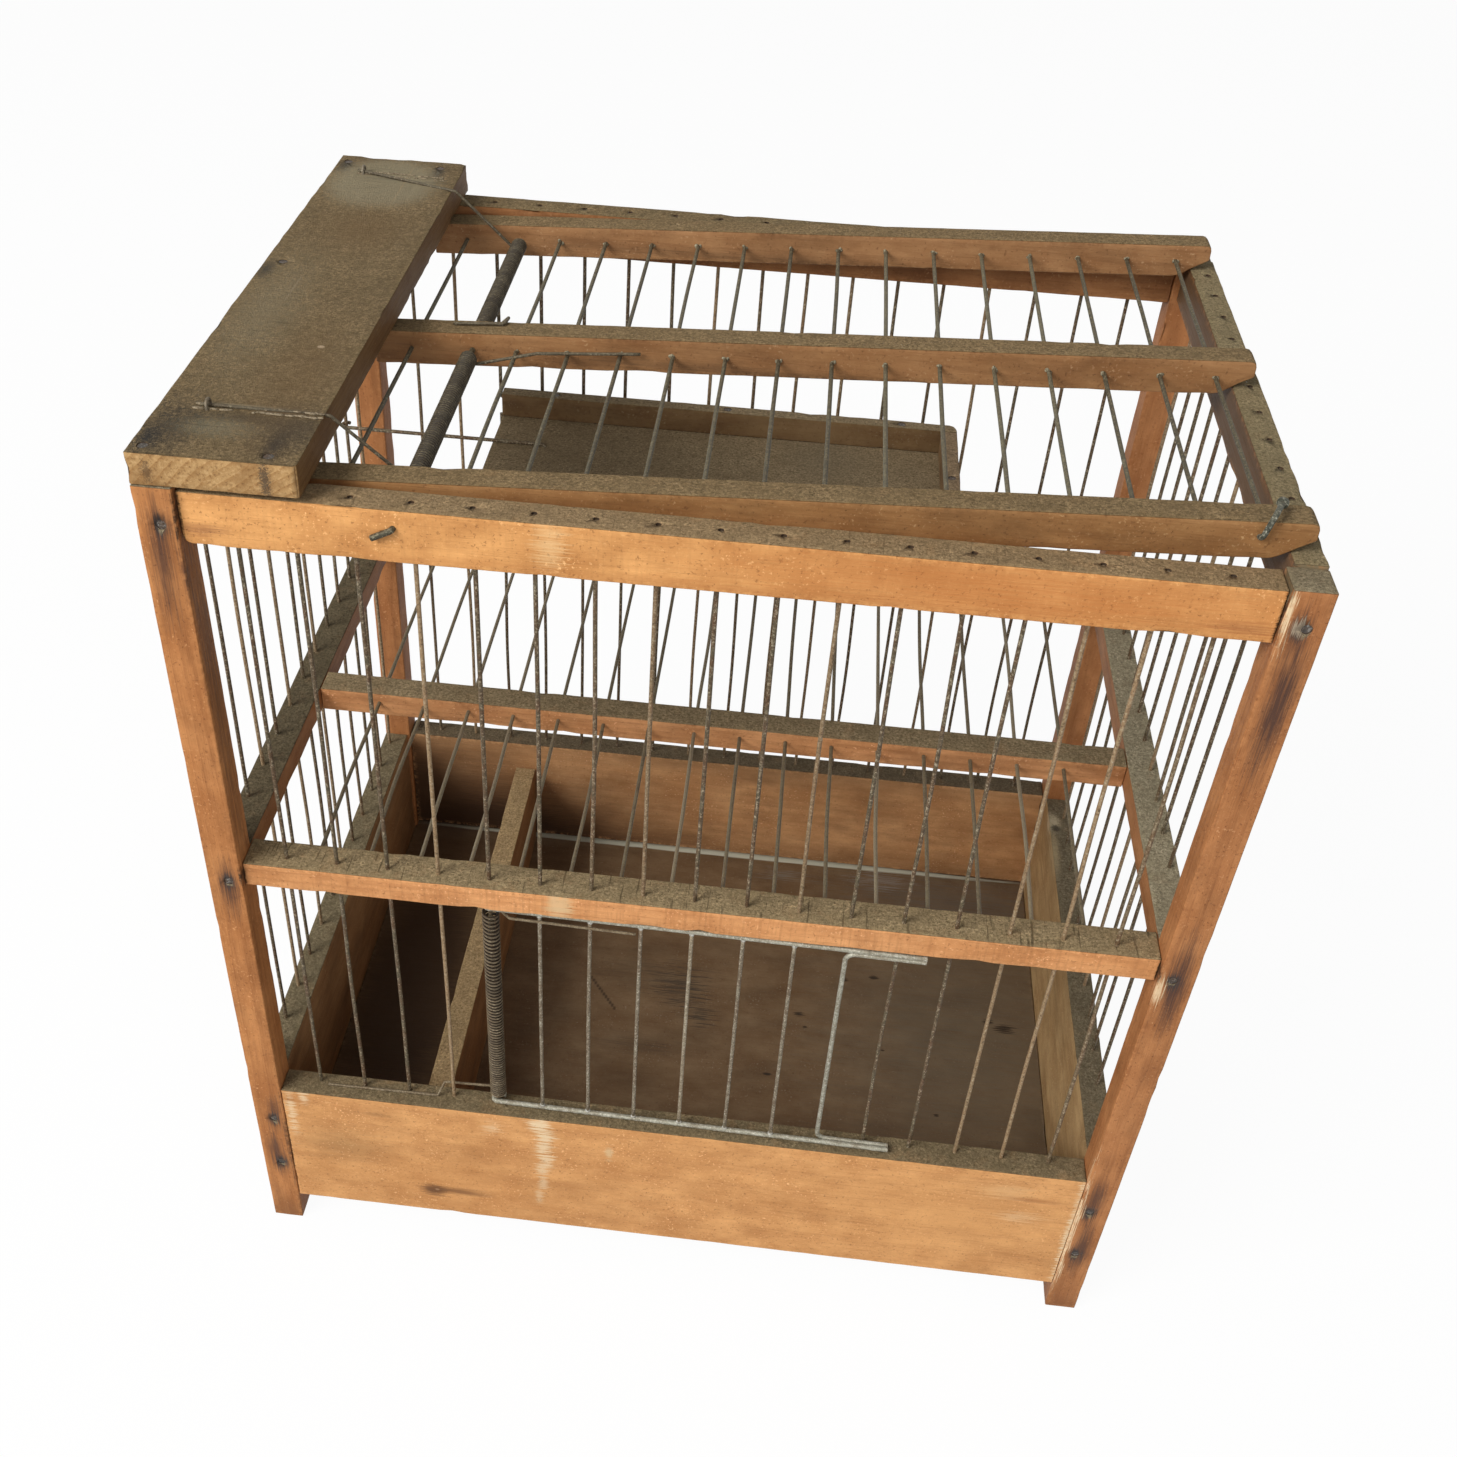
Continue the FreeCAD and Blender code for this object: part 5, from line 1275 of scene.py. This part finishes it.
def make_clumps():
    """Torn wood along the spring arms on the plank, and dust where the lid's wires enter its bars."""
    chance = random.Random(51)
    chips = []
    for first, last in (((14.0, 33.2), (57.0, 33.0)), ((12.0, 250.2), (57.0, 248.5))):
        for index in range(34):
            share = chance.random()
            side = chance.choice((-1, 1))
            x = first[0] + (last[0] - first[0]) * share
            y = first[1] + (last[1] - first[1]) * share + side * chance.uniform(0.9, 1.7)
            spans = ((0.6, 2.4), (0.25, 0.6), (0.2, 0.5))
            size = [chance.uniform(*span) * millimetre for span in spans]
            chips.append(blob(at(x, y, plank_top + 0.05), size, index))
    piece = join_tubes("plank_chips", chips, fluff("chip_wood", (0.26, 0.21, 0.14)))
    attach(piece, "cage")
    clumps = []
    faces = [extent("lid_front_bar")[1].y, extent("lid_middle_bar")[0].y, extent("lid_middle_bar")[1].y,
             extent("lid_rear_bar")[0].y]
    for low, high in solids_of("lid_wires"):
        middle = corner_frame((low + high) / 2)
        for y in faces:
            for index in range(3):
                place = at(middle.x + chance.uniform(-0.9, 0.9), y, middle.z + chance.uniform(-0.6, 0.9))
                size = [chance.uniform(0.5, 1.0) * millimetre for axis in range(3)]
                clumps.append(blob(place, size, index + y))
    piece = join_tubes("lid_dust_clumps", clumps, fluff("clump_dust", (0.25, 0.22, 0.15)))
    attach(piece, "lid")


def dress_frame_nodes():
    """Materials of the solids that are shown as they are."""
    kept = {
        wall_wire: ("tray_hook_wires", "door_axle", "tray_tie_wire", "tray_hinge_eyes"),
        lid_wire: ("lid_axle",),
        frame_wire: ("door_top_wire", "door_bottom_wire", "door_edge_wire"),
        staple_wire: ("spring_staples",),
        nail_iron: ("post_face_nails", "side_face_nails", "plank_nails", "tray_nails"),
        bent_iron: ("lid_bent_nail",),
    }
    for material, names in kept.items():
        for name in names:
            data = nodes[name].data
            data.materials.clear()
            data.materials.append(material)


# Camera, light and floor

def make_camera():
    data = bpy.data.cameras.new("photo_camera")
    camera = bpy.data.objects.new("photo_camera", data)
    bpy.context.scene.collection.objects.link(camera)
    right = Vector((0.99313, 0.11187, 0.03418)).normalized()
    forward = Vector((-0.06446, 0.76723, -0.63812)).normalized()
    up = right.cross(forward).normalized()
    right = forward.cross(up).normalized()
    turn = Matrix((right, up, -forward)).transposed().to_4x4()
    camera.matrix_world = Matrix.Translation(at(210.93, -431.28, 680.86)) @ turn
    data.sensor_width = 36.0
    data.lens = 39.57
    data.shift_x = 0.05082
    data.shift_y = 0.00721
    data.clip_start = 0.01
    data.clip_end = 20.0
    bpy.context.scene.camera = camera


def add_light(name, place, target, size, power, colour):
    data = bpy.data.lights.new(name, "AREA")
    data.size = size
    data.energy = power
    data.color = colour
    light = bpy.data.objects.new(name, data)
    bpy.context.scene.collection.objects.link(light)
    light.location = place
    light.rotation_euler = (Vector(target) - Vector(place)).to_track_quat("-Z", "Y").to_euler()


ambient = 0.22
floor_bounce = 0.4
floor_seen = 0.95
floor_glow = 0.95


def background_rays(tree):
    """1 for the rays that show the background: the camera's, and those in reflections and through glass."""
    path = tree.nodes.new("ShaderNodeLightPath")
    seen = path.outputs["Is Camera Ray"]
    for kind in ("Is Glossy Ray", "Is Transmission Ray"):
        larger = tree.nodes.new("ShaderNodeMath")
        larger.operation = "MAXIMUM"
        tree.links.new(seen, larger.inputs[0])
        tree.links.new(path.outputs[kind], larger.inputs[1])
        seen = larger.outputs[0]
    return seen


def make_light():
    scene = bpy.context.scene
    scene.view_settings.view_transform = "Standard"
    world = bpy.data.worlds.new("studio")
    world.use_nodes = True
    tree = world.node_tree
    background = tree.nodes["Background"]
    strength = tree.nodes.new("ShaderNodeMapRange")
    tree.links.new(background_rays(tree), strength.inputs["Value"])
    strength.inputs["To Min"].default_value = ambient
    strength.inputs["To Max"].default_value = 1.0
    tree.links.new(strength.outputs["Result"], background.inputs["Strength"])
    background.inputs["Color"].default_value = (1, 1, 1, 1)
    scene.world = world
    add_light("key", (-2.0, -1.85, 2.3), (0, 0, 0.2), 1.8, 118.0, (1.0, 0.99, 0.97))
    add_light("fill", (0.7, -1.7, 0.8), (0, 0, 0.2), 1.6, 10.0, (0.99, 0.99, 1.0))


def make_floor():
    size = 4.0
    corners = [(-size, -size, 0), (size, -size, 0), (size, size, 0), (-size, size, 0)]
    shader = Shader("pale_floor")
    seen = background_rays(shader.tree)
    grey = [rgb(level, level, level) for level in (floor_bounce, floor_seen)]
    shader.set(shader.surface, "Base Color", shader.mix(seen, *grey))
    shader.set(shader.surface, "Roughness", 0.8)
    shader.set(shader.surface, "Specular IOR Level", 0.0)
    glow = shader.tree.nodes.new("ShaderNodeEmission")
    mixer = shader.tree.nodes.new("ShaderNodeMixShader")
    shader.set(mixer, 0, shader.times(seen, floor_glow))
    shader.set(mixer, 1, shader.surface.outputs[0])
    shader.set(mixer, 2, glow.outputs[0])
    shader.set(shader.tree.nodes["Material Output"], "Surface", mixer.outputs[0])
    floor = add_object("floor", corners, [(0, 1, 2, 3)], shader.material)


make_camera()
make_light()
make_floor()
make_posts()
make_boards()
make_rails()
make_plank()
make_lid()
make_tray()
make_all_wires()
make_springs()
make_door_spring()
make_solder()
make_clumps()
dress_frame_nodes()
